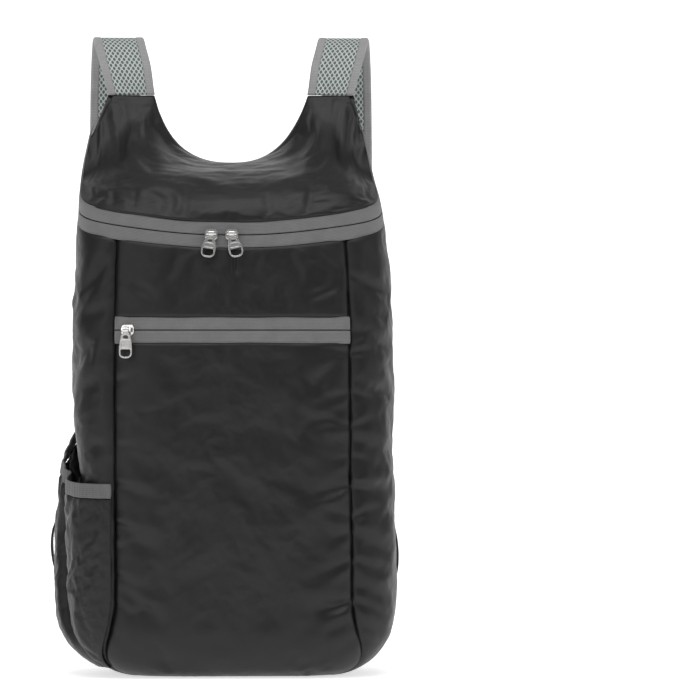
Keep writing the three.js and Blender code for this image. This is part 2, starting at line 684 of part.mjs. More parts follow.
function sidePocket() {
  const bandFoot = (share) => pocketMouth(share) - bandWidth;
  const panel = (u, v) => {
    const share = lerp(1 - pocketMargin, pocketMargin, u);
    const z = lerp(pocketFoot, bandFoot(share) - seamGap, Math.pow(v, pocketRowSpread));
    return pocketPoint(share, z, 0);
  };
  const band = (u, v) => {
    const share = lerp(1 - pocketMargin, pocketMargin, u);
    return pocketPoint(share, lerp(bandFoot(share), pocketMouth(share), v), bandStandOff);
  };
  return [
    piece('side_pocket', wallGeometry(panel, pocketColumns, pocketRows, clothThickness), cloth),
    piece('side_pocket_band', wallGeometry(band, pocketColumns, 1, bandThickness), greyBand),
  ];
}

// A flat strip along a curve. across gives its width direction, from and to its edges, off its distance above
// the curve.
function stripGeometry(curve, across, from, to, off, thickness, steps) {
  const surface = (u, v) => {
    const centre = curve.getPoint(v);
    const along = curve.getTangent(v);
    const side = across(v);
    const normal = new THREE.Vector3().crossVectors(side, along).normalize();
    return centre.addScaledVector(side, lerp(from, to, u)).addScaledVector(normal, off);
  };
  return wallGeometry(surface, 1, steps, thickness);
}

// Middle of the strap from the wing tip to the lower end of the pad.
function strapCurve(side) {
  const tip = backPoint(side * (wingTipInner + wingTipOuter) / 2 / wingTipOuter, wingTipHeight);
  const startY = tip.y - clothThickness - seamGap / 2;
  const points = strapRows.map((row) => new THREE.Vector3(
    tip.x + side * strapSplay * row.out,
    startY + archReach * row.back,
    lerp(wingTipHeight + 3 * seamGap, padEndHeight, row.fall) + archRise * row.rise,
  ));
  return new THREE.CatmullRomCurve3(points, false, 'centripetal');
}

function shoulderStrap(side, word) {
  const curve = strapCurve(side);
  const across = (v) => new THREE.Vector3(rowValue(strapRows, 'wide', v), 0, 0);
  const half = strapWidth / 2;
  const core = half - bindingWidth - seamGap;
  const strip = (name, from, to, thickness, look) => piece(
    name, stripGeometry(curve, across, from, to, thickness / 2, thickness, strapSteps), look,
  );
  const inner = side < 0 ? 'inner' : 'outer';
  const outer = side < 0 ? 'outer' : 'inner';
  return [
    strip(`strap_pad_${word}`, -core, core, strapThickness, mesh),
    strip(`strap_binding_${word}_${outer}`, -half, -half + bindingWidth, bindingThickness, binding),
    strip(`strap_binding_${word}_${inner}`, half - bindingWidth, half, bindingThickness, binding),
  ];
}

// Rounded rectangle outline with its middle at the origin.
function roundedOutline(width, height, radius, Kind = THREE.Shape) {
  const x = width / 2;
  const y = height / 2;
  const outline = new Kind();
  outline.moveTo(-x + radius, -y);
  outline.lineTo(x - radius, -y);
  outline.absarc(x - radius, -y + radius, radius, -Math.PI / 2, 0, false);
  outline.lineTo(x, y - radius);
  outline.absarc(x - radius, y - radius, radius, 0, Math.PI / 2, false);
  outline.lineTo(-x + radius, y);
  outline.absarc(-x + radius, y - radius, radius, Math.PI / 2, Math.PI, false);
  outline.lineTo(-x, -y + radius);
  outline.absarc(-x + radius, -y + radius, radius, Math.PI, Math.PI * 1.5, false);
  return outline;
}

function shiftedUp(path, shift) {
  return new THREE.Path(path.getPoints(holeSteps).map((p) => new THREE.Vector2(p.x, p.y + shift)));
}

// Half turn of a strip round a bar: below it from the front face of the bar to its rear face, drawn flat.
function roundBar(x, y, z, half) {
  return [0, 0.25, 0.5, 0.75, 1].map((t) => new THREE.Vector3(
    x, y - half * Math.cos(t * Math.PI), z - half * barTurnDepth * Math.sin(t * Math.PI),
  ));
}

const acrossX = () => new THREE.Vector3(1, 0, 0);

function webStrip(route, across, steps) {
  return stripGeometry(route, across, -webWidth / 2, webWidth / 2, webThickness / 2, webThickness, steps);
}

// Heights of the ladder lock, which hangs from the lower end of a pad.
const lockTop = padEndHeight - seamGap - webThickness;
const upperBarFoot = lockTop - lockBar;
const lowerBarTop = lockTop - lockHeight + lockBar;
const webHalf = lockThickness / 2 + seamGap + webThickness / 2;

function ladderLock(word, padEnd) {
  const slotHeight = (lockHeight - 3 * lockBar) / 2;
  const frame = roundedOutline(lockWidth, lockHeight, lockRounding);
  for (const up of [1, -1]) {
    const slot = roundedOutline(lockSlotWidth, slotHeight, slotRounding, THREE.Path);
    const shift = up * (slotHeight + lockBar) / 2;
    frame.holes.push(shiftedUp(slot, shift));
  }
  const shape = new THREE.ExtrudeGeometry(frame, {
    depth: lockThickness,
    bevelEnabled: false,
    curveSegments: holeSteps,
  });
  shape.translate(0, 0, -lockThickness / 2);
  shape.rotateX(Math.PI / 2);
  const lock = piece(`ladder_lock_${word}`, shape, plastic);
  lock.position.set(padEnd.x, padEnd.y, lockTop - lockHeight / 2);
  return lock;
}

// Tape sewn over both faces of the pad's end, which holds the ladder lock by its upper bar.
function loopTape(word, curve, padEnd) {
  const half = strapThickness / 2 + seamGap + webThickness / 2;
  const lap = tapeLap / curve.getLength();
  const padAt = (share, off) => {
    const point = curve.getPoint(share);
    const along = curve.getTangent(share);
    return new THREE.Vector3(point.x, point.y - off * along.z, point.z + off * along.y);
  };
  const face = (off) => [1 - lap, 1 - lap / 2, 1].map((share) => padAt(share, off));
  const turnHeight = upperBarFoot - seamGap - webThickness / 2 + webHalf * barTurnDepth;
  const loop = new THREE.CatmullRomCurve3([
    ...face(-half),
    ...roundBar(padEnd.x, padEnd.y, turnHeight, half),
    ...face(half).reverse(),
  ], false, 'centripetal');
  return piece(`loop_tape_${word}`, webStrip(loop, acrossX, loopSteps), webbing);
}

// Webbing from its free tail up behind the lower bar, round it, and down in a bow to the back seam.
function lowerWebbing(side, word, padEnd) {
  const foot = lowerBarTop - lockBar;
  const anchor = backPoint(side, anchorHeight, 0);
  const start = new THREE.Vector3(padEnd.x, padEnd.y - webHalf, foot);
  const end = new THREE.Vector3(anchor.x, anchor.y + webWidth / 2 + seamGap, anchor.z);
  const bow = side < 0 ? webBowLeft : webBowRight;
  const bowed = webRows.map((row) => new THREE.Vector3(
    lerp(start.x, end.x, row.in) + side * bow * row.bow,
    lerp(start.y, end.y, row.in),
    lerp(start.z, end.z, row.down),
  ));
  const swing = side < 0 ? tailBowLeft : tailBowRight;
  const tail = [0, 0.35, 0.7].map((t) => new THREE.Vector3(
    padEnd.x + side * swing * (1 - t) * (1 - t),
    padEnd.y + webHalf + tailSlack * Math.sin(t * Math.PI),
    lerp(tailHeight, foot, t),
  ));
  const round = roundBar(padEnd.x, padEnd.y, -lowerBarTop, webHalf).reverse();
  const over = round.map((p) => new THREE.Vector3(p.x, p.y, -p.z));
  const route = new THREE.CatmullRomCurve3([...tail, ...over, ...bowed], false, 'centripetal');
  const turnStart = (tail.length + over.length) / (tail.length + over.length + bowed.length - 1);
  const turned = (v) => {
    const turn = rowValue(webRows, 'turn', (v - turnStart) / (1 - turnStart)) * Math.PI / 2;
    return new THREE.Vector3(Math.cos(turn), side * Math.sin(turn), 0);
  };
  return piece(`webbing_${word}`, webStrip(route, turned, webSteps), webbing);
}

function strapEnd(side, word) {
  const curve = strapCurve(side);
  const padEnd = curve.getPoint(1);
  return [ladderLock(word, padEnd), loopTape(word, curve, padEnd), lowerWebbing(side, word, padEnd)];
}

// One slider and its pull tab, in a group whose -Y points away from the cloth and whose X runs along the chain.
const barStandOff = seamGap + sliderThickness + seamGap + barRadius + barClearance + knuckleWall;

function ring(outerRadius, innerRadius, length) {
  const outline = new THREE.Shape();
  outline.absarc(0, 0, outerRadius, 0, Math.PI * 2, false);
  const hole = new THREE.Path();
  hole.absarc(0, 0, innerRadius, 0, Math.PI * 2, true);
  outline.holes.push(hole);
  const shape = new THREE.ExtrudeGeometry(outline, {
    depth: length,
    bevelEnabled: false,
    curveSegments: ringSteps,
  });
  shape.translate(0, 0, -length / 2);
  shape.rotateY(Math.PI / 2);
  return shape;
}

function sliderGeometry() {
  const outline = roundedOutline(sliderLength, sliderWidth, sliderRounding);
  const plate = new THREE.ExtrudeGeometry(outline, {
    depth: sliderThickness - 2 * sliderBevel,
    bevelThickness: sliderBevel,
    bevelSize: sliderBevel,
    bevelOffset: -sliderBevel,
    bevelSegments: 1,
    curveSegments: 2,
  });
  plate.rotateX(Math.PI / 2);
  plate.translate(0, -seamGap - sliderBevel, 0);
  const earAt = knuckleLength / 2 + seamGap + earThickness / 2;
  const earReach = barStandOff - seamGap - sliderThickness / 2;
  let body = solid(plate);
  for (const side of [-1, 1]) {
    const ear = new THREE.BoxGeometry(earThickness, earReach, earWidth);
    ear.translate(side * earAt, -seamGap - sliderThickness / 2 - earReach / 2, 0);
    const cheek = new THREE.CylinderGeometry(cheekRadius, cheekRadius, earThickness, barSides);
    cheek.rotateZ(Math.PI / 2);
    cheek.translate(side * earAt, -barStandOff, 0);
    body = body.add(solid(ear)).add(solid(cheek));
  }
  const bar = new THREE.CylinderGeometry(barRadius, barRadius, 2 * earAt, barSides);
  bar.rotateZ(Math.PI / 2);
  bar.translate(0, -barStandOff, 0);
  return geometryOf(body.add(solid(bar)));
}

// The tab hangs from the bar at the origin, its plate along -Z.
function tabGeometry(length, width, cant) {
  const knuckle = barRadius + barClearance + knuckleWall;
  const bottom = -length + knuckle;
  const corner = width * tabRounding;
  const outline = new THREE.Shape();
  outline.moveTo(-tabNeckWidth / 2, -knuckle - seamGap);
  outline.lineTo(-tabNeckWidth / 2, -knuckle - tabShoulder);
  outline.lineTo(-width / 2, bottom + corner + tabFlank);
  outline.lineTo(-width / 2, bottom + corner);
  outline.absarc(-width / 2 + corner, bottom + corner, corner, Math.PI, Math.PI * 1.5, false);
  outline.absarc(width / 2 - corner, bottom + corner, corner, Math.PI * 1.5, Math.PI * 2, false);
  outline.lineTo(width / 2, bottom + corner + tabFlank);
  outline.lineTo(tabNeckWidth / 2, -knuckle - tabShoulder);
  outline.lineTo(tabNeckWidth / 2, -knuckle - seamGap);
  const hole = roundedOutline(tabHoleWidth, tabHoleHeight, tabHoleRounding, THREE.Path);
  const lift = bottom + tabRim + tabHoleHeight / 2;
  outline.holes.push(shiftedUp(hole, lift));
  const plate = new THREE.ExtrudeGeometry(outline, {
    depth: tabThickness,
    bevelEnabled: false,
    curveSegments: tabSteps,
  });
  plate.translate(0, 0, -tabThickness / 2);
  plate.rotateX(Math.PI / 2);
  plate.rotateY(degToRad(cant));
  const neckLength = knuckleWall + tabShoulder / 2;
  const neck = new THREE.BoxGeometry(knuckleLength, tabThickness, neckLength);
  neck.translate(0, 0, knuckleWall / 2 - knuckle - neckLength / 2);
  const eye = ring(knuckle, barRadius + barClearance, knuckleLength);
  return geometryOf(solid(plate).add(solid(neck)).add(solid(eye)));
}

// Point on the front at x and height z, on the flat facet of the cloth there, and the facet's direction.
function frontFacet(x, z) {
  const angle = Math.atan2(x, squareDepth(x / halfWidth, section(z).front, frontSquareness));
  const from = seams.frontLeft(z);
  const to = seams.frontRight(z);
  const place = (angle - from) / (to - from) * frontColumns;
  const column = Math.floor(place);
  const left = wall(lerp(from, to, column / frontColumns), z);
  const right = wall(lerp(from, to, (column + 1) / frontColumns), z);
  const turn = Math.atan2(right.y - left.y, right.x - left.x);
  return { point: left.lerp(right, place - column), turn };
}

function pull(sliderName, tabName, x, chainZ, length, width, cant) {
  const here = frontFacet(x, chainZ);
  const below = frontFacet(x, chainZ - length);
  const group = new THREE.Group();
  group.position.copy(here.point);
  const lean = Math.atan2(here.point.y - below.point.y, length);
  group.rotation.set(-lean, 0, here.turn, 'ZXY');
  const tab = piece(tabName, tabGeometry(length, width, cant), nickel);
  tab.position.y = -barStandOff;
  group.add(piece(sliderName, sliderGeometry(), nickel), tab);
  return group;
}

function mainPull(word, x, cant) {
  const names = [`main_zip_slider_${word}`, `main_pull_${word}`];
  return pull(...names, x, zipHeight, mainTabLength, mainTabWidth, cant);
}

const backpack = new THREE.Group();
backpack.add(
  basePanel(),
  ...frontPanels(),
  gorePanel('left_gore', seams.backLeft, seams.frontLeft),
  gorePanel('right_gore', seams.frontRight, seams.backRight),
  backPanel(),
  lidPanel(),
  ...zips(),
  ...sidePocket(),
  mainPull('left', leftSliderX, tabCant),
  mainPull('right', rightSliderX, -tabCant),
  pull('pocket_zip_slider', 'pocket_pull', pocketSliderX, pocketZipHeight, pocketTabLength, pocketTabWidth, 0),
);
for (const [side, word] of [[-1, 'left'], [1, 'right']]) {
  backpack.add(...shoulderStrap(side, word), ...strapEnd(side, word));
}

export default backpack;
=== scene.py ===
# Looks of a packable day backpack: cloth shell, zips, pulls, pocket, straps, studio and camera.
# Lengths are millimetres in the bag's own frame, X across, -Y front, +Z up; MM turns them into metres.
import math

import bmesh
import bpy
import numpy as np
from mathutils import Matrix, Vector


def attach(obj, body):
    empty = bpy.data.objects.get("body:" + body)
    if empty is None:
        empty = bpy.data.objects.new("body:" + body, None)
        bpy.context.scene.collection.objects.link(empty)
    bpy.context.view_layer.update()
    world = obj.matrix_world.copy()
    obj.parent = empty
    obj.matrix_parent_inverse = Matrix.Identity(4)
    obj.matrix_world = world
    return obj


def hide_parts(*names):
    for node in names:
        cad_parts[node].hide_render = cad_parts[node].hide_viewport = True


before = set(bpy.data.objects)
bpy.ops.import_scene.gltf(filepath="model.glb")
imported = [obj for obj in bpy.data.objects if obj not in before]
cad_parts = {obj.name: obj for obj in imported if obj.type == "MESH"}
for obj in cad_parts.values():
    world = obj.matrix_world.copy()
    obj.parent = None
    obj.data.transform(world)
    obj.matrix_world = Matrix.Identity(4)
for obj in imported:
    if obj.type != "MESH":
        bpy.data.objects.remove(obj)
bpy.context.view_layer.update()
MM = 0.001

# Sizes of the body that the cloth shares with the construction: depths, rounded feet and squareness.
HALF_WIDTH = 128.0
FRONT_DEPTH = 72.0
BACK_DEPTH = 68.0
CORNER_RADIUS = 50.0
FRONT_TOE_RADIUS = 36.0
BACK_TOE_RADIUS = 30.0
FRONT_SQUARENESS = 4.2
BACK_SQUARENESS = 4.6
CLOTH = 1.1
# Seams of the front and the back: distance from the middle, and shares of the half width at the ends.
FRONT_SEAM_X = 93.6
BACK_SEAM_X = 118.0
BACK_SEAM_TOP = 0.985
TOE_SEAM_SHARE = 0.95
TOE_SPREAD = 0.62
GORE_SHARE = 8 / 28
# Zips: heights, the rise of the main chain round the sides, its tapes and the slot between them.
ZIP_HEIGHT = 352.0
ZIP_RISE = 75.0
POCKET_ZIP_HEIGHT = 276.5
TAPE_WIDTH = 9.0
CHAIN_SLOT = 0.7
CHAIN_BEND = 3.0
CHAIN_REACH = 0.97
STEEPEST_TAPE = 1.1
# Neckline and wings: heights, distances from the middle and the way that the wings lean.
NECK_HEIGHT = 415.0
NECK_CURVE = 2.5
TIP_HEIGHT = 470.0
TIP_INNER = 63.0
TIP_OUTER = 101.0
WING_LEAN = 4.0
WING_FLATNESS = 0.97
WING_BASE = ZIP_HEIGHT + ZIP_RISE
# Lid: its ends at the wings, its roundness and the easing of its grid.
LID_TIP_SHARE = 0.13
LID_END_SHARE = 0.012
LID_ROUNDNESS = 1.15
LID_STEEPNESS_END = 1.2
LID_STEEPNESS = 2.4
LID_EASING_ROUNDS = 60
LID_UNDER_BACK = 3.6
# Side pocket: heights of its mouth.
POCKET_MOUTH_FRONT = 155.0
POCKET_MOUTH_BACK = 206.0

# Shape of the bag from the base up, as in the construction: shares of ZIP_HEIGHT, HALF_WIDTH and the depths.
BODY_ROWS = np.array([
    # height, left, right, front, back
    (0.0, 0.965, 1.0, 0.91, 0.95),
    (0.14, 0.98, 1.025, 0.95, 0.97),
    (0.28, 0.988, 1.032, 0.99, 1.0),
    (0.45, 0.988, 1.016, 1.0, 1.0),
    (0.65, 0.988, 1.014, 0.99, 1.0),
    (0.82, 0.984, 1.006, 0.95, 0.98),
    (0.94, 0.974, 0.988, 0.87, 0.95),
    (1.0, 0.968, 0.97, 0.82, 0.93),
    (1.06, 0.96, 0.952, 0.76, 0.91),
    (1.13, 0.95, 0.91, 0.7, 0.89),
    (1.22, 0.922, 0.87, 0.64, 0.87),
    (1.3, 0.895, 0.845, 0.6, 0.86),
])
LEFT, RIGHT, FRONT, BACK = 1, 2, 3, 4


def table_value(column, place):
    """Smooth value of one column of BODY_ROWS at a share of the zip's height."""
    keys = BODY_ROWS[:, 0]
    values = BODY_ROWS[:, column]
    low = np.clip(np.searchsorted(keys, place, side="right") - 1, 0, len(keys) - 2)
    high = low + 1
    before = np.maximum(low - 1, 0)
    after = np.minimum(low + 2, len(keys) - 1)
    span = keys[high] - keys[low]
    t = np.clip((place - keys[low]) / span, 0, 1)
    slope_low = (values[high] - values[before]) / (keys[high] - keys[before])
    slope_high = (values[after] - values[low]) / (keys[after] - keys[low])
    return ((2 * t**3 - 3 * t**2 + 1) * values[low] + (t**3 - 2 * t**2 + t) * span * slope_low
            + (3 * t**2 - 2 * t**3) * values[high] + (t**3 - t**2) * span * slope_high)


def toe_rounding(z, radius):
    """How far the rounded bottom edge draws the wall in at height z."""
    below = np.clip(radius - z, 0, radius)
    return radius - np.sqrt(radius**2 - below**2)


def section(z):
    """Half widths and depths of the bag at height z: left, right, front, back."""
    share = z / ZIP_HEIGHT
    return (
        HALF_WIDTH * table_value(LEFT, share) - toe_rounding(z, CORNER_RADIUS),
        HALF_WIDTH * table_value(RIGHT, share) - toe_rounding(z, CORNER_RADIUS),
        FRONT_DEPTH * table_value(FRONT, share) - toe_rounding(z, FRONT_TOE_RADIUS),
        BACK_DEPTH * table_value(BACK, share) - toe_rounding(z, BACK_TOE_RADIUS),
    )


def seam_share(seam, z):
    """Share of the half width at which a seam lies at height z."""
    plain = (FRONT_SEAM_X if seam == "front" else BACK_SEAM_X) / HALF_WIDTH
    share = plain + (TOE_SEAM_SHARE - plain) * np.exp(-(z / (CORNER_RADIUS * TOE_SPREAD)) ** 2)
    if seam == "front":
        return share
    climb = np.clip((z - POCKET_MOUTH_BACK) / (WING_BASE - POCKET_MOUTH_BACK), 0, 1)
    return share + (BACK_SEAM_TOP - plain) * climb


def square_depth(share, depth, squareness):
    return depth * np.maximum(1 - np.abs(share) ** squareness, 0) ** (1 / squareness)


def seam_angle(side, seam, z):
    """Angle of a seam round the bag: 0 is the middle of the front, growing to the right."""
    left, right, front, back = section(z)
    width = np.where(side < 0, left, right)
    if seam == "front":
        share = seam_share("front", z)
        return side * np.arctan2(share * width, square_depth(share, front, FRONT_SQUARENESS))
    share = seam_share("back", z)
    return side * np.arctan2(share * width, -square_depth(share, back, BACK_SQUARENESS))


def outline_radius(angle, z):
    left, right, front, back = section(z)
    across = np.abs(np.sin(angle))
    along = np.abs(np.cos(angle))
    ahead = np.cos(angle) > 0
    width = np.where(np.sin(angle) < 0, left, right)
    depth = np.where(ahead, front, back)
    squareness = np.where(ahead, FRONT_SQUARENESS, BACK_SQUARENESS)
    return ((across / width) ** squareness + (along / depth) ** squareness) ** (-1 / squareness)


def at_angle(angle, reach, z):
    return np.stack([reach * np.sin(angle), -reach * np.cos(angle), z], axis=-1)


def wall(angle, z):
    return at_angle(angle, outline_radius(angle, z), z)


def chain_height(angle):
    full = np.abs(seam_angle(np.where(angle < 0, -1.0, 1.0), "back", np.full_like(angle, WING_BASE)))
    bend = 1 - (1 - np.minimum(np.abs(angle) / full * CHAIN_REACH, 1) ** CHAIN_BEND) ** (1 / CHAIN_BEND)
    return ZIP_HEIGHT + ZIP_RISE * bend / (1 - (1 - CHAIN_REACH**CHAIN_BEND) ** (1 / CHAIN_BEND))


def beside_chain(angle, across):
    """Height on the wall at a distance across the main chain, measured square to it."""
    step = 0.02
    ahead = wall(angle + step, chain_height(angle + step))
    behind = wall(angle - step, chain_height(angle - step))
    rise = ahead[..., 2] - behind[..., 2]
    run = np.hypot(ahead[..., 0] - behind[..., 0], ahead[..., 1] - behind[..., 1])
    return chain_height(angle) + across * np.hypot(1, np.minimum(np.abs(rise / run), STEEPEST_TAPE))


def back_edge_height(share):
    """Height of the back cloth's upper edge: the neckline between the wings, level over their tips."""
    climb = np.minimum(np.abs(share) / (TIP_INNER / TIP_OUTER), 1) ** NECK_CURVE
    return NECK_HEIGHT + (TIP_HEIGHT - NECK_HEIGHT) * climb


def back_point(share, z, stand_off=0.0):
    low = np.minimum(z, WING_BASE)
    side = np.where(share < 0, -1.0, 1.0)
    left, right, _, back = section(low)
    width = np.where(side < 0, left, right)
    seam_x = seam_share("back", low) * width
    up = np.clip((z - WING_BASE) / (TIP_HEIGHT - WING_BASE), 0, 1)
    x = np.abs(share) * (seam_x + (TIP_OUTER - seam_x) * up)
    depth = square_depth(np.abs(share) * seam_x / width, back, BACK_SQUARENESS)
    y = depth * (1 - up) + back * WING_FLATNESS * up
    return np.stack([side * x, y + WING_LEAN * up**2 + stand_off, z + 0 * x], axis=-1)


def angle_between(start_seam, end_seam, share, z):
    """Angle at a share of the way between two seams, each given as (side, name)."""
    start = seam_angle(start_seam[0], start_seam[1], z)
    end = seam_angle(end_seam[0], end_seam[1], z)
    return start + (end - start) * share


BACK_LEFT = (-1.0, "back")
FRONT_LEFT = (-1.0, "front")
FRONT_RIGHT = (1.0, "front")
BACK_RIGHT = (1.0, "back")


def smooth(value, low, high):
    """0 below low, 1 above high, and a smooth step between."""
    t = np.clip((value - low) / (high - low), 0, 1)
    return t * t * (3 - 2 * t)


def soft_noise(a, b, seed, octaves=3):
    """Smooth two-way noise of about -1 to 1 from crossed waves turned through irregular angles."""
    rng = np.random.default_rng(seed)
    total = np.zeros_like(a)
    weight = 1.0
    scale = 1.0
    for _ in range(octaves):
        for _ in range(4):
            turn = rng.random() * 2 * math.pi
            phase = rng.random() * 2 * math.pi
            bend = rng.random() * 2 * math.pi
            along = (a * math.cos(turn) + b * math.sin(turn)) * scale
            aside = (-a * math.sin(turn) + b * math.cos(turn)) * scale
            wander = 1.4 * np.sin(1.9 * math.pi * aside + bend)
            total += weight * np.sin(2 * math.pi * along + phase + wander)
        weight *= 0.5
        scale *= 1.9
    return total / 4.5


def crease(x, z, row):
    """Depth of one crease at places (x, z): a sharp valley with a soft ridge beside it."""
    x0, z0, x1, z1, deep, wide = row
    length = math.hypot(x1 - x0, z1 - z0)
    ux, uz = (x1 - x0) / length, (z1 - z0) / length
    along = ((x - x0) * ux + (z - z0) * uz) / length
    aside = (-(x - x0) * uz + (z - z0) * ux) / wide
    fade = smooth(along, -0.25, 0.12) * (1 - smooth(along, 0.55, 1.15))
    return deep * fade * (np.exp(-aside**2) - 0.55 * np.exp(-((aside - 1.9) / 1.5) ** 2))


def on_panel(start_seam, end_seam, share, height_of):
    """Angles and heights on the wall where each height depends on the angle, as height_of gives it."""
    z = np.full_like(share, ZIP_HEIGHT)
    for _ in range(4):
        z = height_of(angle_between(start_seam, end_seam, share, z))
    return angle_between(start_seam, end_seam, share, z), z


def height_up(share, top):
    """Height at a share of the way up the cloth, evenly spread round the rounded bottom edge."""
    bend = 60 / (60 + ZIP_HEIGHT - CORNER_RADIUS)
    low = CORNER_RADIUS * (1 - np.cos(np.clip(share / bend, 0, 1) * math.pi / 2))
    high = CORNER_RADIUS + (top - CORNER_RADIUS) * (share - bend) / (1 - bend)
    return np.where(share < bend, low, high)


def normals_of(grid):
    """Directions in which a grid of points faces: columns run to its right, rows upwards."""
    across = np.gradient(grid, axis=1)
    upwards = np.gradient(grid, axis=0)
    normal = np.cross(across, upwards)
    return normal / np.maximum(np.linalg.norm(normal, axis=-1, keepdims=True), 1e-9)


def cloth_lengths(grid):
    """Distances in mm along a grid of points: across and up, as the cloth was cut."""
    across = np.linalg.norm(np.diff(grid, axis=1), axis=-1)
    upwards = np.linalg.norm(np.diff(grid, axis=0), axis=-1)
    s = np.concatenate([np.zeros((grid.shape[0], 1)), np.cumsum(across, axis=1)], axis=1)
    s -= s[:, s.shape[1] // 2][:, None]
    t = np.concatenate([np.zeros((1, grid.shape[1])), np.cumsum(upwards, axis=0)], axis=0)
    return s, t


def mesh_object(name, points, faces, cut=None):
    """A mesh object from points in mm; cut holds each point's place on the flat cloth, in mm."""
    mesh = bpy.data.meshes.new(name)
    mesh.from_pydata((np.asarray(points, float) * MM).tolist(), [], faces)
    edit = bmesh.new()
    edit.from_mesh(mesh)
    bmesh.ops.recalc_face_normals(edit, faces=edit.faces)
    edit.to_mesh(mesh)
    edit.free()
    mesh.shade_smooth()
    if cut is not None:
        attribute = mesh.attributes.new("cloth_mm", "FLOAT_VECTOR", "POINT")
        attribute.data.foreach_set("vector", np.asarray(cut, np.float32).ravel())
    made = bpy.data.objects.new(name, mesh)
    bpy.context.scene.collection.objects.link(made)
    return made


def grid_faces(rows, columns, wrap=False):
    """Quads of a grid of points, facing the side that its columns and rows turn about."""
    faces = []
    for j in range(rows - 1):
        for i in range(columns if wrap else columns - 1):
            a = j * columns + i
            b = j * columns + (i + 1) % columns
            faces.append((a, b, b + columns, a + columns))
    return faces


def sheet_object(name, grid, thickness, cut):
    """A closed sheet of even thickness whose outside is a grid of points, cut from the flat as cut says."""
    rows, columns = grid.shape[:2]
    outer = grid.reshape(-1, 3)
    inner = (grid - normals_of(grid) * thickness).reshape(-1, 3)
    count = len(outer)
    faces = grid_faces(rows, columns)
    faces += [tuple(count + k for k in reversed(face)) for face in faces]
    for i in range(columns - 1):
        top = (rows - 1) * columns + i
        faces.append((i, count + i, count + i + 1, i + 1))
        faces.append((top, top + 1, count + top + 1, count + top))
    for j in range(rows - 1):
        start = j * columns
        end = start + columns - 1
        faces.append((start, start + columns, count + start + columns, count + start))
        faces.append((end, count + end, count + end + columns, end + columns))
    flat = np.stack([cut[0], cut[1], np.zeros_like(cut[0])], axis=-1).reshape(-1, 3)
    return mesh_object(name, np.concatenate([outer, inner]), faces, np.concatenate([flat, flat]))


def under_main_tape(angle):
    """Height of the main zip's lower tape edge at an angle."""
    return beside_chain(angle, -CHAIN_SLOT / 2 - TAPE_WIDTH)


def panel_grid(start_seam, end_seam, columns, rows, height_of):
    """Angles and heights of a panel's grid; height_of(up, angle) gives the height at a share up."""
    share, up = np.meshgrid(np.linspace(0, 1, columns), np.linspace(0, 1, rows))
    return on_panel(start_seam, end_seam, share, lambda angle: height_of(up, angle))


def ride_and_replace(made, material, slot_name, *nodes):
    """Gives a piece its finish, makes it move with the bag, and lets it stand for CAD nodes."""
    made.data.materials.append(material)
    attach(made, "bag")
    if nodes:
        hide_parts(*nodes)
    return made


# Puckers where the seams gather the cloth: height over the base, reach beside the seam, depth, tilt.
LEFT_SEAM_PUCKERS = [
    (262, 16, 0.7, 0.1), (236, 22, 0.8, -0.2), (212, 14, 0.7, 0.3), (186, 20, 0.8, 0.1),
    (154, 30, 1.5, 0.25), (123, 34, 1.7, 0.35), (104, 24, 1.4, -0.2), (82, 30, 1.7, 0.4),
    (60, 22, 1.3, 0.5), (38, 18, 1.0, 0.6),
]
RIGHT_SEAM_PUCKERS = [
    (258, 30, 1.6, -0.15), (227, 26, 1.4, 0.3), (200, 28, 1.5, -0.25), (176, 16, 0.9, 0.2),
    (154, 26, 1.5, 0.3), (128, 24, 1.4, -0.3), (116, 18, 1.2, 0.2), (94, 28, 1.6, 0.35), (62, 30, 1.8, 0.4),
    (33, 22, 1.3, 0.5),
]
# Creases of the front cloth: from (x0, z0) to (x1, z1), depth, width.
FRONT_CREASES = [
    (-84, 70, -54, 44, 2.2, 5.0), (-78, 52, -50, 60, 1.4, 4.0), (92, 60, 66, 56, 2.2, 5.0),
    (90, 46, 70, 34, 1.6, 4.0), (-90, 120, -52, 96, 1.6, 6.0), (-88, 152, -60, 140, 1.2, 5.0),
    (88, 214, 52, 196, 1.3, 6.0), (89, 155, 48, 142, 1.5, 7.0), (60, 262, 20, 240, 1.0, 8.0),
    (-70, 262, -34, 236, 1.0, 8.0), (86, 254, 62, 228, 1.2, 5.0), (-30, 30, 20, 24, 1.2, 6.0),
    (10, 96, 58, 84, 1.0, 8.0),
]
UPPER_CREASES = [
    (2.4, 334, 2.6, 319, 1.9, 1.6), (-82, 318, -58, 300, 1.2, 4.5), (84, 312, 56, 300, 1.3, 4.5),
    (-40, 338, -52, 312, 0.7, 4.0), (46, 336, 58, 312, 0.8, 4.0), (70, 334, 88, 320, 1.0, 3.5),
]


# A seam's narrow groove and its wide hollow: depth and reach to either side.
SEAM_GROOVE = (1.7, 2.6)
SEAM_HOLLOW = (1.3, 8.0)


def seam_hold(distance, soft=1.0):
    """How deep a seam holds the cloth in, at a distance beside it."""
    forms = (SEAM_GROOVE, SEAM_HOLLOW)
    return soft * sum(depth * np.exp(-(distance / reach) ** 2) for depth, reach in forms)


def puckers(distance, z, rows, side):
    """Depth of the short folds that run from a seam into the cloth, on its right if side is +1."""
    depth = np.zeros_like(distance)
    for height, reach, deep, tilt in rows:
        middle = height - tilt * distance
        narrow = 2.2 + 0.12 * distance
        aside = (z - middle) / narrow
        fade = np.exp(-(distance / reach) ** 2) * smooth(distance, -1, 2.5)
        depth += deep * fade * (np.exp(-aside**2) - 0.6 * np.exp(-((aside - 2.1 * side) / 1.4) ** 2))
    return depth


def plain_creases(x, z, rows):
    """Depth of all the creases in a table."""
    return sum(crease(x, z, row) for row in rows)


def pressed_in(grid, sink):
    """The grid pushed in by sink mm, square to its surface."""
    return grid - normals_of(grid) * sink[..., None]


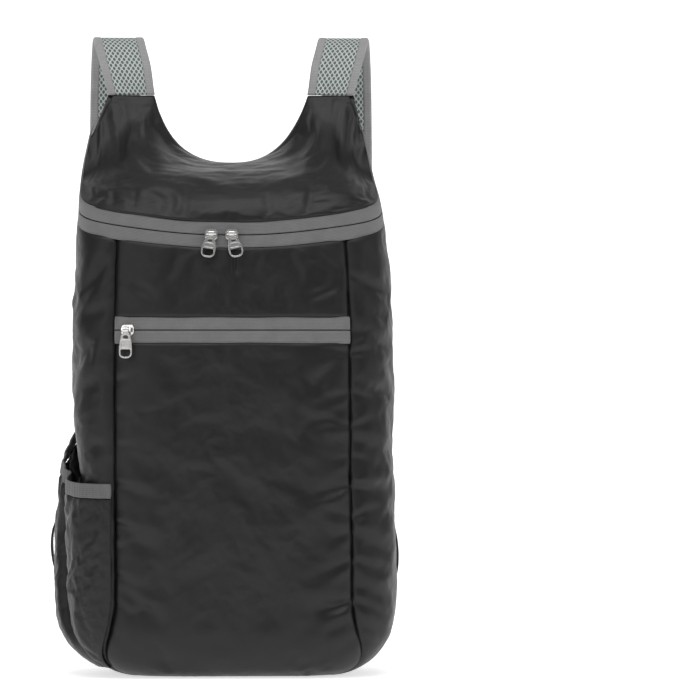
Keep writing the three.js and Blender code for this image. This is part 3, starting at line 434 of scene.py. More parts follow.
def beside_seams(s):
    """Distances of a grid's points from the seam at its start and from the one at its end."""
    return s - s[:, :1], s[:, -1:] - s


def relaxed(grid, rounds):
    """The grid with its inner points drawn towards their neighbours; its border stays."""
    grid = grid.copy()
    for _ in range(rounds):
        around = grid[:-2, 1:-1] + grid[2:, 1:-1] + grid[1:-1, :-2] + grid[1:-1, 2:]
        grid[1:-1, 1:-1] = 0.5 * grid[1:-1, 1:-1] + 0.125 * around
    return grid


def settled(grid, growth, pressure, most=3.0, frames=16):
    """The grid after a cloth simulation: held at its border, cut too large and blown out softly."""
    rows, columns = grid.shape[:2]
    made = mesh_object("settling", grid.reshape(-1, 3), grid_faces(rows, columns))
    index = np.arange(rows * columns).reshape(rows, columns)
    held = made.vertex_groups.new(name="held")
    border = [part.ravel() for part in (index[:2], index[-2:], index[:, :2], index[:, -2:])]
    held.add(np.unique(np.concatenate(border)).tolist(), 1.0, "REPLACE")
    modifier = made.modifiers.new("settle", "CLOTH")
    cloth = modifier.settings
    cloth.quality = 4
    cloth.mass = 0.08
    cloth.tension_stiffness = cloth.compression_stiffness = 12
    cloth.shear_stiffness = 4
    cloth.bending_stiffness = 0.15
    cloth.shrink_min = -growth
    cloth.use_pressure = True
    cloth.uniform_pressure_force = pressure
    cloth.vertex_group_mass = "held"
    cloth.effector_weights.gravity = 0
    modifier.point_cache.frame_start = 1
    modifier.point_cache.frame_end = frames
    for frame_number in range(1, frames + 1):
        bpy.context.scene.frame_set(frame_number)
    mesh = made.evaluated_get(bpy.context.evaluated_depsgraph_get()).to_mesh()
    end = np.empty(rows * columns * 3)
    mesh.vertices.foreach_get("co", end)
    bpy.data.objects.remove(made)
    bpy.context.scene.frame_set(1)
    moved = end.reshape(grid.shape) / MM - grid
    reach = np.linalg.norm(moved, axis=-1, keepdims=True)
    return grid + moved * np.minimum(1, most / np.maximum(reach, 1e-6))


def edge_tuck(distance, depth=1.6):
    """How far an edge that is folded under beside a zip tape turns in."""
    return depth * np.exp(-(np.maximum(distance, 0) / 1.3) ** 2)


def front_lower_grid():
    """Front cloth from the base to the pocket zip, with its puckers, creases and dents."""
    top = POCKET_ZIP_HEIGHT - CHAIN_SLOT / 2 - TAPE_WIDTH
    angle, z = panel_grid(FRONT_LEFT, FRONT_RIGHT, 96, 132, lambda up, angle: height_up(up, top))
    plain = wall(angle, z)
    s, t = cloth_lengths(plain)
    from_left, from_right = beside_seams(s)
    low = smooth(z, 0, 40)
    sink = seam_hold(np.minimum(from_left, from_right)) * low
    sink += puckers(from_left, z, LEFT_SEAM_PUCKERS, 1) * low
    sink += puckers(from_right, z, RIGHT_SEAM_PUCKERS, -1) * low
    inside = smooth(np.minimum(from_left, from_right), 0, 30)
    sink += plain_creases(plain[..., 0], z, FRONT_CREASES) * low * smooth(top - z, 2, 16)
    sink += 1.5 * soft_noise(s / 120, t / 90, 11) * inside * low * smooth(top - z, 0, 40)
    sink += 0.35 * soft_noise(s / 34, t / 26, 12) * smooth(top - z, 0, 12) * low
    sink += edge_tuck(top - z)
    return pressed_in(plain, sink), (s, t)


def front_upper_grid():
    """Front cloth between the pocket zip and the main zip."""
    foot = POCKET_ZIP_HEIGHT + CHAIN_SLOT / 2 + TAPE_WIDTH
    angle, z = panel_grid(
        FRONT_LEFT, FRONT_RIGHT, 96, 34, lambda up, angle: foot + (under_main_tape(angle) - foot) * up)
    plain = wall(angle, z)
    s, t = cloth_lengths(plain)
    from_left, from_right = beside_seams(s)
    above = t
    below = t[-1:, :] - t
    sink = seam_hold(np.minimum(from_left, from_right), 0.8)
    near_zip = smooth(np.minimum(above, below), 0, 9)
    sink += plain_creases(plain[..., 0], z, UPPER_CREASES) * near_zip
    sink += 0.9 * soft_noise(s / 70, t / 60, 21) * smooth(np.minimum(above, below), 0, 24)
    sink += 0.25 * soft_noise(s / 22, t / 18, 22) * near_zip
    sink += edge_tuck(above) + edge_tuck(below)
    return pressed_in(plain, sink), (s, t)


def gore_grid(start_seam, end_seam, front_first, puckered, creases, seed, dip):
    """Side cloth from the base to the main tape, between two seams."""
    angle, z = panel_grid(
        start_seam, end_seam, 64, 150, lambda up, angle: height_up(up, under_main_tape(angle)))
    plain = wall(angle, z)
    s, t = cloth_lengths(plain)
    from_start, from_end = beside_seams(s)
    from_front = from_start if front_first else from_end
    below_tape = t[-1:, :] - t
    low = smooth(z, 0, 40)
    sink = seam_hold(np.minimum(from_start, from_end)) * low
    sink += puckers(from_front, z, puckered, 1 if front_first else -1) * low
    sink += plain_creases(from_front, z, creases) * low * smooth(below_tape, 2, 14)
    sink += 1.5 * soft_noise(s / 80, t / 90, seed) * low * smooth(below_tape, 0, 30)
    sink += 0.35 * soft_noise(s / 26, t / 30, seed + 1) * smooth(below_tape, 0, 12) * low
    sink += edge_tuck(below_tape) + dip(from_front / (from_start + from_end), z)
    return pressed_in(plain, sink), (s, t)


# Creases of the lid: the curved folds below the wing tips and the fine upright ones over the zip.
LID_CREASES = [
    (-62, 452, -46, 420, 1.8, 5.0), (-46, 420, -22, 408, 1.2, 5.0), (-92, 440, -84, 404, 1.4, 5.0),
    (-76, 430, -58, 396, 1.3, 6.0), (66, 440, 48, 414, 1.8, 5.0), (92, 436, 86, 400, 1.4, 5.0),
    (78, 424, 60, 394, 1.2, 6.0), (-95, 372, -94, 392, 0.9, 3.0), (-79, 370, -76, 392, 0.8, 3.0),
    (-37, 370, -35, 392, 0.7, 3.0), (30, 372, 27, 390, 0.6, 3.5), (60, 372, 64, 392, 0.7, 3.0),
]
LEFT_SIDE_CREASES = [
    (10, 330, 34, 300, 1.6, 6.0), (4, 296, 30, 284, 1.4, 5.0), (20, 262, 60, 250, 1.4, 7.0),
    (8, 236, 40, 226, 1.2, 6.0), (60, 320, 40, 290, 1.3, 7.0), (70, 250, 46, 232, 1.2, 6.0),
]
RIGHT_SIDE_CREASES = [
    (4, 318, 36, 306, 1.8, 5.0), (2, 276, 40, 262, 1.6, 6.0), (4, 232, 44, 224, 1.6, 6.0),
    (2, 190, 40, 178, 1.8, 6.0), (2, 150, 46, 150, 1.8, 6.0), (2, 112, 44, 96, 1.8, 6.0),
    (4, 74, 36, 60, 1.8, 5.5), (4, 44, 30, 30, 1.4, 5.0), (60, 200, 80, 170, 1.5, 7.0),
    (84, 120, 56, 96, 1.5, 7.0),
]


def pocket_side_dip(share, z):
    """How far the things in the side pocket push the side cloth in."""
    return 13 * np.sin(math.pi * share) ** 2 * smooth(z, 4, 50) * (1 - smooth(z, 120, 230))


def no_dip(share, z):
    """The side without a pocket, where nothing presses on the cloth."""
    return 0 * z


def back_grid():
    """Back cloth from the base to the neckline and the wing tips, with soft dents."""
    share, up = np.meshgrid(np.linspace(1, -1, 120), np.linspace(0, 1, 150))
    z = height_up(up, back_edge_height(share))
    plain = back_point(share, z)
    s, t = cloth_lengths(plain)
    from_seam = np.minimum(*beside_seams(s))
    low = smooth(z, 0, 40)
    sink = seam_hold(from_seam) * low * (1 - smooth(z, 400, 430))
    sink += 1.3 * soft_noise(s / 110, t / 120, 41) * low * smooth(from_seam, 0, 30)
    sink += 0.4 * soft_noise(s / 36, t / 44, 42) * low
    sink += 0.48 * np.exp(-(t[-1:, :] - t - 7) ** 2)
    return pressed_in(plain, sink), (s, t)


def main_zip_path(share, across):
    """Points on the wall at a distance across the main chain, by share of the way between the back seams."""
    z = np.full_like(share, WING_BASE)
    for _ in range(6):
        back_left, front_left, front_right, back_right = (
            seam_angle(side, seam, z) for side, seam in (BACK_LEFT, FRONT_LEFT, FRONT_RIGHT, BACK_RIGHT))
        left = back_left + (front_left - back_left) * share / GORE_SHARE
        front = front_left + (front_right - front_left) * (share - GORE_SHARE) / (1 - 2 * GORE_SHARE)
        right = front_right + (back_right - front_right) * (share - 1 + GORE_SHARE) / GORE_SHARE
        angle = np.where(share < GORE_SHARE, left, np.where(share < 1 - GORE_SHARE, front, right))
        z = beside_chain(angle, across)
    return wall(angle, z)


def lid_end(share):
    """Where the lid meets the back cloth: up one wing, along the neckline, and down the other wing."""
    side = np.where(share < 0.5, -1.0, 1.0)
    reach = np.minimum(share, 1 - share)
    corner = TIP_INNER / TIP_OUTER
    wing = 1 + (corner - 1) * reach / LID_TIP_SHARE
    neck = corner * (1 - (reach - LID_TIP_SHARE) / (0.5 - LID_TIP_SHARE))
    back = np.where(reach < LID_TIP_SHARE, wing, neck)
    return back_point(side * back, back_edge_height(back), -LID_UNDER_BACK)


def lid_grid():
    """Lid cloth: a dome from the main tape back to the neckline, drawn up along both wings."""
    share, up = np.meshgrid(np.linspace(LID_END_SHARE, 1 - LID_END_SHARE, 190), np.linspace(0, 1, 72))
    start = main_zip_path(share, np.full_like(share, CHAIN_SLOT / 2 + TAPE_WIDTH))
    end = lid_end(share)
    dome = np.maximum(np.minimum(NECK_HEIGHT, end[..., 2]), start[..., 2])
    turn = up * math.pi / 2
    back = 1 - np.cos(turn) ** LID_ROUNDNESS
    from_wing = np.minimum(np.minimum(share, 1 - share) / LID_TIP_SHARE, 1)
    steepness = LID_STEEPNESS_END + (LID_STEEPNESS - LID_STEEPNESS_END) * from_wing
    plain = np.stack([
        start[..., 0] + (end[..., 0] - start[..., 0]) * up,
        start[..., 1] + (end[..., 1] - start[..., 1]) * back,
        start[..., 2] + (dome - start[..., 2]) * np.sin(turn) + (end[..., 2] - dome) * up**steepness,
    ], axis=-1)
    plain = relaxed(plain, LID_EASING_ROUNDS)
    s, t = cloth_lengths(plain)
    from_end = t[-1:, :] - t
    sink = 1.0 * soft_noise(s / 75, t / 50, 51) * smooth(t, 0, 24) * smooth(from_end, 0, 20)
    inside = smooth(t, 2, 12) * smooth(from_end, 2, 12)
    sink += plain_creases(plain[..., 0], plain[..., 2], LID_CREASES) * inside
    sink += edge_tuck(t) + 0.4 * np.exp(-((from_end - 6) / 1.1) ** 2)
    return pressed_in(plain, sink), (s, t)


# Rings of the base cloth, from its rim inwards: scale and height over the floor.
BASE_RINGS = [(1.0, 0.9), (0.985, 0.1), (0.9, 0.0), (0.5, 0.0)]


def base_object(material):
    """The flat base cloth, filling the feet of the side, front and back cloths."""
    share = np.linspace(0, 1, 33)[:-1]
    zero = np.zeros_like(share)
    seams = (BACK_LEFT, FRONT_LEFT, FRONT_RIGHT, BACK_RIGHT)
    feet = [wall(angle_between(start, end, share, zero), zero) for start, end in zip(seams, seams[1:])]
    share = np.linspace(1, -1, 49)[:-1]
    feet.append(back_point(share, np.zeros_like(share)))
    rim = np.concatenate(feet)
    rings = [rim * (scale, scale, 1) + (0, 0, lift) for scale, lift in BASE_RINGS]
    under = np.concatenate(rings + [[(0, 0, 0)]])
    over = under + (0, 0, CLOTH)
    columns = len(rim)
    faces = grid_faces(len(rings), columns, wrap=True)
    last = (len(rings) - 1) * columns
    centre = len(rings) * columns
    faces += [(last + (i + 1) % columns, centre, last + i) for i in range(columns)]
    count = len(under)
    faces += [tuple(count + k for k in reversed(face)) for face in faces]
    faces += [(i, (i + 1) % columns, count + (i + 1) % columns, count + i) for i in range(columns)]
    points = np.concatenate([under, over])
    made = mesh_object("base_cloth", points, faces, points)
    return ride_and_replace(made, material, "bag_cloth", "base_panel")


def pocket_zip_path(share, across):
    """Points on the front at a distance across the pocket chain, by share of the way between its seams."""
    z = POCKET_ZIP_HEIGHT + across
    angle = angle_between(FRONT_LEFT, FRONT_RIGHT, share, z)
    return wall(angle, z)


# Zip tapes: distances from the slot at which a tape has points, closest where it folds back, its fold's
# radius and how deep its body, its hidden edge and its two ends lie.
TAPE_POINTS = np.array([0.0, 0.12, 0.3, 0.6, 1.0, 1.6, 2.6, 4.2, 5.8, 7.4, 8.6, 9.4, 10.4])
TAPE_FOLD = 0.95
TAPE_SINK = 0.25
TAPE_EDGE_SINK = 0.9
TAPE_ENDS_SINK = 0.8


def tape_grid(path, side, columns):
    """One woven zip tape: folded back at the chain, its far edge running under the cloth."""
    share, d = np.meshgrid(np.linspace(0, 1, columns), TAPE_POINTS)
    across = side * (CHAIN_SLOT / 2 + d)
    plain = path(share, across)
    if side < 0:
        plain = plain[::-1]
        d = d[::-1]
    s, _ = cloth_lengths(plain)
    fold = np.sqrt(np.clip(1 - (1 - np.minimum(d / TAPE_FOLD, 1)) ** 2, 0, 1))
    sink = TAPE_FOLD * (1 - fold) + TAPE_EDGE_SINK * smooth(d, 8.4, 9.6)
    sink += 0.12 * np.sin(s / 9.0) * smooth(d, 0, 4)
    ends = np.minimum(*beside_seams(s))
    sink += TAPE_ENDS_SINK * np.exp(-(ends / 3.0) ** 2)
    sink += TAPE_SINK
    return pressed_in(plain, sink), (s, side * (d + CHAIN_SLOT / 2))


# One tooth of a chain: rings along it and corners round it, its bow, and the thread's half sizes.
TOOTH_RINGS = 7
TOOTH_CORNERS = 5
TOOTH_SHOULDER = 0.9
TOOTH_REACH = 1.1
TOOTH_LIFT = 0.55
THREAD_ALONG = 0.42
THREAD_ACROSS = 0.34
CHAIN_DEPTH = 2.1


def coil_object(name, path, count, material, node):
    """The chain under the tapes: one small bent tooth after another, joined in one mesh."""
    share = (np.arange(count) + 0.5) / count
    middle = path(share, np.zeros_like(share))
    above = path(share, np.full_like(share, 2.0))
    before = path(share - 0.001, np.zeros_like(share))
    after = path(share + 0.001, np.zeros_like(share))
    points = []
    faces = []
    for k in range(count):
        along = Vector(after[k] - before[k]).normalized()
        up = Vector(above[k] - middle[k]).normalized()
        out = along.cross(up).normalized()
        up = out.cross(along)
        centre = Vector(middle[k]) - out * CHAIN_DEPTH
        side = 1 if k % 2 else -1
        for step in range(TOOTH_RINGS):
            turn = math.pi * (step / (TOOTH_RINGS - 1) - 0.5)
            bow = TOOTH_SHOULDER + TOOTH_REACH * math.cos(turn)
            spine = centre + up * side * bow + out * TOOTH_LIFT * math.sin(turn)
            ring_up = up * side * math.cos(turn) + out * math.sin(turn)
            for corner in range(TOOTH_CORNERS):
                a = 2 * math.pi * corner / TOOTH_CORNERS
                points.append(spine + along * THREAD_ALONG * math.cos(a)
                              + ring_up * THREAD_ACROSS * math.sin(a))
        base = k * TOOTH_RINGS * TOOTH_CORNERS
        tooth = grid_faces(TOOTH_RINGS, TOOTH_CORNERS, wrap=True)
        tooth.append(tuple(reversed(range(TOOTH_CORNERS))))
        tooth.append(tuple(range((TOOTH_RINGS - 1) * TOOTH_CORNERS, TOOTH_RINGS * TOOTH_CORNERS)))
        faces += [tuple(base + corner for corner in face[::side]) for face in tooth]
    made = mesh_object(name, points, faces, points)
    return ride_and_replace(made, material, "zip_tape", node)


# Side pocket on the bag's left.
POCKET_FOOT = 7.0
POCKET_BULGE = 14.0
POCKET_FRONT_LOBE = 4.0
FOLD_DEPTH = 3.2
FOLD_WIDTH = 0.035
BAND_WIDTH = 11.5
BAND_THICKNESS = 1.5

# Creases of the pocket's cloth, by depth towards the front (-y) and height.
POCKET_CREASES = [
    (44, 134, 26, 112, 1.6, 4.0), (38, 142, 30, 136, 1.2, 2.5), (20, 140, 4, 104, 1.5, 4.0),
    (-4, 150, -16, 110, 1.5, 4.5), (-26, 160, -34, 120, 1.3, 4.0), (46, 96, 20, 70, 1.3, 5.0),
    (-10, 90, -30, 60, 1.4, 6.0),
]


def pocket_mouth(share):
    """Height of the side pocket's mouth, by share of the way back."""
    return POCKET_MOUTH_FRONT + (POCKET_MOUTH_BACK - POCKET_MOUTH_FRONT) * share**2.6


def pocket_fold(up):
    """Share of the way back at which the pocket's two lobes meet, by share of its height."""
    return 0.5 * (1 - np.exp(-up * 4.2)) + 0.02


def pocket_stand_off(share, z):
    """How far the pocket stands off the side: two lobes with a deep crease between them."""
    up = np.clip((z - POCKET_FOOT) / (pocket_mouth(share) - POCKET_FOOT), 0, 1)
    fold = pocket_fold(up)
    hold = np.sin(math.pi * np.clip(share, 0, 1)) ** 0.6
    front = POCKET_FRONT_LOBE * np.sin(math.pi * np.clip(share / fold, 0, 1))
    rear_share = np.clip((share - fold) / (1 - fold), 0, 1)
    rear = POCKET_BULGE * np.sin(math.pi * rear_share**0.7) ** 0.8
    rear *= np.sin(math.pi * np.clip(0.12 + 0.72 * up, 0, 1))
    return CLOTH + 0.9 + hold * (0.9 + front + rear)


def pocket_surface(share, z, stand_off):
    """Points on the side pocket, raised by stand_off."""
    angle = angle_between(FRONT_LEFT, BACK_LEFT, share, z)
    return at_angle(angle, outline_radius(angle, z) + pocket_stand_off(share, z) + stand_off, z)


def gathers(share, below, depth, reach):
    """Small folds that the elastic band gathers the pocket's cloth into, fading down from the band."""
    spread = share * 7 + 0.35 * np.sin(share * 9.0)
    fine = np.cos(2 * math.pi * spread) + 0.35 * np.cos(2 * math.pi * spread * 2.3 + 1.0)
    return depth * fine * np.exp(-(below / reach) ** 1.3) * np.sin(math.pi * np.clip(share, 0, 1)) ** 0.5


def pocket_grid():
    """Side pocket's cloth from its foot to the band: gathers, dents, and the crease between its lobes."""
    share, up = np.meshgrid(np.linspace(0.995, 0.005, 110), np.linspace(0, 1, 110))
    foot_of_band = pocket_mouth(share) - BAND_WIDTH
    z = POCKET_FOOT + (foot_of_band - POCKET_FOOT) * up**1.25
    plain = pocket_surface(share, z, 0.0)
    s, t = cloth_lengths(plain)
    below = foot_of_band - z
    from_seam = np.minimum(*beside_seams(s))
    sink = gathers(share, below, 1.3, 30.0)
    sink += 0.8 * soft_noise(s / 34, t / 50, 61) * smooth(from_seam, 0, 14)
    sink += 0.3 * soft_noise(s / 12, t / 20, 62) * smooth(from_seam, 0, 8)
    sink += 0.9 * np.exp(-(below / 2.0) ** 2)
    fold = pocket_fold(np.clip((z - POCKET_FOOT) / (foot_of_band - POCKET_FOOT), 0, 1))
    inside = smooth(below, 4, 40) * smooth(z, 12, 40)
    sink += FOLD_DEPTH * np.exp(-((share - fold) / FOLD_WIDTH) ** 2) * inside
    sink += plain_creases(-plain[..., 1], z, POCKET_CREASES) * smooth(from_seam, 0, 8)
    return pressed_in(plain, sink), (s, t)


def band_grid():
    """Elastic band round the side pocket's mouth, with the pocket's gathers and its own fine ripple."""
    share, up = np.meshgrid(np.linspace(0.995, 0.005, 220), np.linspace(0, 1, 16))
    mouth = pocket_mouth(share)
    z = mouth - BAND_WIDTH + BAND_WIDTH * up
    plain = pocket_surface(share, z, 0.4)
    s, t = cloth_lengths(plain)
    sink = gathers(share, 0, 0.9, 30.0) * (1 - 0.4 * up)
    sink += 0.22 * np.cos(s * 2 * math.pi / 3.1 + 0.8 * np.sin(s / 9.0)) * np.sin(math.pi * up) ** 0.3
    sink += 0.5 * (1 - np.clip(np.minimum(up, 1 - up) * 8, 0, 1)) ** 2
    return pressed_in(plain, sink), (s, t)


# Shoulder straps: route behind the wing tips as shares of the splay, the reach, the rise and the fall.
STRAP_WIDTH = 42.0
STRAP_THICKNESS = 4.0
BINDING_WIDTH = 7.5
BINDING_THICKNESS = 4.8
ARCH_RISE = 47.0
ARCH_REACH = 54.0
STRAP_SPLAY = 16.0
PAD_END_HEIGHT = 226.0
STRAP_STEPS = 240
STRAP_ROWS = [
    # out, back, rise, fall
    (0.0, 0.0, 0.0, 0.0),
    (0.25, 0.04, 0.42, 0.0),
    (0.55, 0.2, 0.82, 0.0),
    (0.72, 0.48, 1.0, 0.0),
    (0.82, 0.78, 0.82, 0.0),
    (0.9, 0.96, 0.3, 0.0),
    (0.95, 1.03, 0.0, 0.15),
    (0.95, 1.0, 0.0, 0.42),
    (0.98, 0.9, 0.0, 0.74),
    (1.0, 0.8, 0.0, 1.0),
]


def smooth_route(points, steps):
    """Evenly spaced points of a smooth curve through a few points, as a centripetal Catmull-Rom curve."""
    points = np.asarray(points, float)
    ends = np.concatenate([[2 * points[0] - points[1]], points, [2 * points[-1] - points[-2]]])
    run = []
    for k in range(1, len(ends) - 2):
        p0, p1, p2, p3 = ends[k - 1:k + 3]
        d0 = max(np.linalg.norm(p1 - p0), 1e-6) ** 0.5
        d1 = max(np.linalg.norm(p2 - p1), 1e-6) ** 0.5
        d2 = max(np.linalg.norm(p3 - p2), 1e-6) ** 0.5
        t1 = (p1 - p0) / d0 - (p2 - p0) / (d0 + d1) + (p2 - p1) / d1
        t2 = (p2 - p1) / d1 - (p3 - p1) / (d1 + d2) + (p3 - p2) / d2
        t1, t2 = t1 * d1, t2 * d1
        t = np.linspace(0, 1, 24, endpoint=False)[:, None]
        run.append((2 * t**3 - 3 * t**2 + 1) * p1 + (t**3 - 2 * t**2 + t) * t1
                   + (3 * t**2 - 2 * t**3) * p2 + (t**3 - t**2) * t2)
    run = np.concatenate(run + [points[-1:]])
    length = np.concatenate([[0], np.cumsum(np.linalg.norm(np.diff(run, axis=0), axis=1))])
    places = np.linspace(0, length[-1], steps)
    return np.stack([np.interp(places, length, run[:, axis]) for axis in range(3)], axis=-1), places


def strap_route(side):
    """Middle line of one strap, from its wing tip over the arch and down to the pad's end."""
    share = np.array([side * (TIP_INNER + TIP_OUTER) / 2 / TIP_OUTER])
    tip = back_point(share, np.array([TIP_HEIGHT]))[0]
    start_y = tip[1] - 1.35
    points = []
    for out, back, rise, fall in STRAP_ROWS:
        base = TIP_HEIGHT + 0.9
        z = base + (PAD_END_HEIGHT - base) * fall + ARCH_RISE * rise
        points.append((tip[0] + side * STRAP_SPLAY * out, start_y + ARCH_REACH * back, z))
    return smooth_route(points, STRAP_STEPS)


def facing(route, across):
    """Directions square to a route and to its width, which lies along across at each point."""
    along = np.gradient(route, axis=0)
    along /= np.linalg.norm(along, axis=1, keepdims=True)
    out = np.cross(across, along)
    return out / np.linalg.norm(out, axis=1, keepdims=True)


def swept_object(name, route, across, outline, cut_x):
    """A closed bar with the same outline, of (sideways, outwards) points in mm, all along a route."""
    out = facing(route, across)
    outline = np.asarray(outline, float)
    count = len(outline)
    steps = len(route)
    points = (route[:, None, :] + across[:, None, :] * outline[None, :, 0, None]
              + out[:, None, :] * outline[None, :, 1, None])
    run = np.concatenate([[0], np.cumsum(np.linalg.norm(np.diff(route, axis=0), axis=1))])
    cut = np.zeros((steps, count, 3))
    cut[..., 0] = np.asarray(cut_x)[None, :]
    cut[..., 1] = run[:, None]
    faces = grid_faces(steps, count, wrap=True)
    faces.append(tuple(reversed(range(count))))
    faces.append(tuple((steps - 1) * count + i for i in range(count)))
    return mesh_object(name, points.reshape(-1, 3), faces, cut.reshape(-1, 3))


def flat_outline(half_width, thickness, rounding, columns):
    """Outline of a flat strip with round edges, turning from its left edge over the outside."""
    x = np.linspace(-half_width + rounding, half_width - rounding, columns)
    turn = np.linspace(0, math.pi, 9)
    half = thickness / 2
    right = [(half_width - rounding + rounding * math.sin(a), half * math.cos(a)) for a in turn]
    left = [(-half_width + rounding - rounding * math.sin(a), -half * math.cos(a)) for a in turn]
    top = [(v, half) for v in x[1:-1]]
    bottom = [(v, -half) for v in x[::-1][1:-1]]
    return top + right + bottom + left


# Lower webbing: from the ladder lock, bowing out sideways, to the bottom corner.
WEB_WIDTH = 20.0
WEB_THICKNESS = 1.4
WEB_BOW = {-1: 44.0, 1: 31.0}
ANCHOR_HEIGHT = 46.0
TAIL_HEIGHT = 54.0
TAIL_SWING = {-1: 27.0, 1: 4.0}
TAPE_LAP = 13.0
LOCK_HEIGHT = 25.0
LOCK_THICKNESS = 3.0
LOCK_BAR = 4.2
BAR_TURN_DEPTH = 0.62
CLEARANCE = 0.3
WEB_STEPS = 260
LOOP_STEPS = 120
WEB_ROWS = [
    # down, bow, in, turn
    (0.0, 0.0, 0.0, 0.0),
    (0.14, 0.1, 0.04, 0.1),
    (0.34, 0.62, 0.12, 0.6),
    (0.56, 1.0, 0.28, 1.0),
    (0.78, 0.82, 0.6, 1.0),
    (0.93, 0.34, 0.88, 1.0),
    (1.0, 0.1, 1.0, 1.0),
]
SIDES = {-1: "left", 1: "right"}
ACROSS_X = np.array([1.0, 0.0, 0.0])


def strap_objects(side, mesh_finish, binding_finish):
    """One padded strap: the mesh-covered pad and the two ribbed bindings along its edges."""
    word = SIDES[side]
    route, places = strap_route(side)
    across = ACROSS_X * (0.92 + 0.08 * smooth(places, 0, 30))[:, None]
    core = STRAP_WIDTH / 2 - BINDING_WIDTH
    outline = flat_outline(core + 1.0, STRAP_THICKNESS, 1.2, 12)
    pad = swept_object(f"strap_pad_{word}", route, across, outline, [x for x, _ in outline])
    ride_and_replace(pad, mesh_finish, "spacer_mesh", f"strap_pad_{word}")
    for edge in (-1, 1):
        place = "outer" if edge == side else "inner"
        outline = flat_outline(BINDING_WIDTH / 2, BINDING_THICKNESS, 1.9, 8)
        shifted = [(x + edge * (STRAP_WIDTH / 2 - BINDING_WIDTH / 2), y) for x, y in outline]
        name = f"strap_binding_{word}_{place}"
        made = swept_object(name, route, across, shifted, [x for x, _ in outline])
        ride_and_replace(made, binding_finish, "strap_binding", name)


def webbing_route(side):
    """Middle line of the lower webbing, and the share of a quarter turn that faces it sideways."""
    route, _ = strap_route(side)
    end = route[-1]
    lock_top = end[2] - CLEARANCE - WEB_THICKNESS
    lower_bar = lock_top - LOCK_HEIGHT + LOCK_BAR
    half = LOCK_THICKNESS / 2 + CLEARANCE + WEB_THICKNESS / 2
    swing = TAIL_SWING[side]
    tail = [(end[0] + side * swing * (1 - t) ** 2, end[1] + half + 5 * math.sin(t * math.pi),
             TAIL_HEIGHT + (lower_bar - LOCK_BAR - TAIL_HEIGHT) * t) for t in (0, 0.35, 0.7)]
    turn = [(end[0], end[1] - half * math.cos(t * math.pi),
             lower_bar + half * BAR_TURN_DEPTH * math.sin(t * math.pi)) for t in (1, 0.75, 0.5, 0.25, 0)]
    anchor = back_point(np.array([float(side)]), np.array([ANCHOR_HEIGHT]))[0]
    start = np.array([end[0], end[1] - half, lower_bar - LOCK_BAR])
    low = np.array([anchor[0], anchor[1] + WEB_WIDTH / 2 + CLEARANCE, anchor[2]])
    bowed = [(start[0] + (low[0] - start[0]) * inward + side * WEB_BOW[side] * bow,
              start[1] + (low[1] - start[1]) * inward,
              start[2] + (low[2] - start[2]) * down) for down, bow, inward, _ in WEB_ROWS]
    points = tail + turn + bowed
    line, _ = smooth_route(points, WEB_STEPS)
    keys = [0.0] * len(tail + turn) + [row[3] for row in WEB_ROWS]
    place = [np.argmin(np.linalg.norm(line - np.array(point), axis=1)) for point in points]
    return line, np.interp(np.arange(WEB_STEPS), place, keys)


def webbing_object(side, material):
    """Lower webbing of one side, from its loose tail through the ladder lock to the bottom corner."""
    word = SIDES[side]
    route, turned = webbing_route(side)
    angle = turned * math.pi / 2
    across = np.stack([np.cos(angle), side * np.sin(angle), np.zeros_like(angle)], axis=-1)
    outline = flat_outline(WEB_WIDTH / 2, WEB_THICKNESS, 0.6, 12)
    made = swept_object(f"webbing_{word}", route, across, outline, [x for x, _ in outline])
    return ride_and_replace(made, material, "webbing", f"webbing_{word}")


def loop_tape_object(side, material):
    """Tape sewn over the pad's end that holds the ladder lock by its upper bar."""
    word = SIDES[side]
    route, places = strap_route(side)
    out = facing(route, np.tile(ACROSS_X, (len(route), 1)))
    end = route[-1]
    half = STRAP_THICKNESS / 2 + CLEARANCE + WEB_THICKNESS / 2
    lap = [int(np.argmin(np.abs(places - (places[-1] - TAPE_LAP * share)))) for share in (1, 0.5, 0)]
    bar = end[2] - CLEARANCE - WEB_THICKNESS - LOCK_BAR
    dip = (LOCK_THICKNESS / 2 + CLEARANCE + WEB_THICKNESS / 2) * BAR_TURN_DEPTH
    over = bar - CLEARANCE - WEB_THICKNESS / 2 + dip
    turn = [(end[0], end[1] - half * math.cos(t * math.pi),
             over - half * BAR_TURN_DEPTH * math.sin(t * math.pi)) for t in (0, 0.25, 0.5, 0.75, 1)]
    front = [route[k] - out[k] * half for k in lap]
    rear = [route[k] + out[k] * half for k in reversed(lap)]
    line, _ = smooth_route(front + turn + rear, LOOP_STEPS)
    outline = flat_outline(WEB_WIDTH / 2, WEB_THICKNESS, 0.6, 12)
    across = np.tile(ACROSS_X, (LOOP_STEPS, 1))
    made = swept_object(f"loop_tape_{word}", line, across, outline, [x for x, _ in outline])
    return ride_and_replace(made, material, "webbing", f"loop_tape_{word}")


# Pull tabs: which, place along the chain, height, length, width and lean sideways in degrees.
PULLS = [
    ("main_pull_left", -15.6, ZIP_HEIGHT, 22.0, 11.2, 10.0),
    ("main_pull_right", 0.4, ZIP_HEIGHT, 22.0, 11.2, -14.0),
    ("pocket_pull", -82.0, POCKET_ZIP_HEIGHT, 25.0, 10.4, 0.0),
]
PULL_BODIES = {
    "main_pull_left": "main_tab_left", "main_pull_right": "main_tab_right", "pocket_pull": "pocket_tab",
}
BAR_STAND_OFF = 5.35
KNUCKLE_RADIUS = 2.35
KNUCKLE_LENGTH = 4.4
TAB_THICKNESS = 1.5
TAB_RIM = 1.3
LOWER_HOLE = 5.8
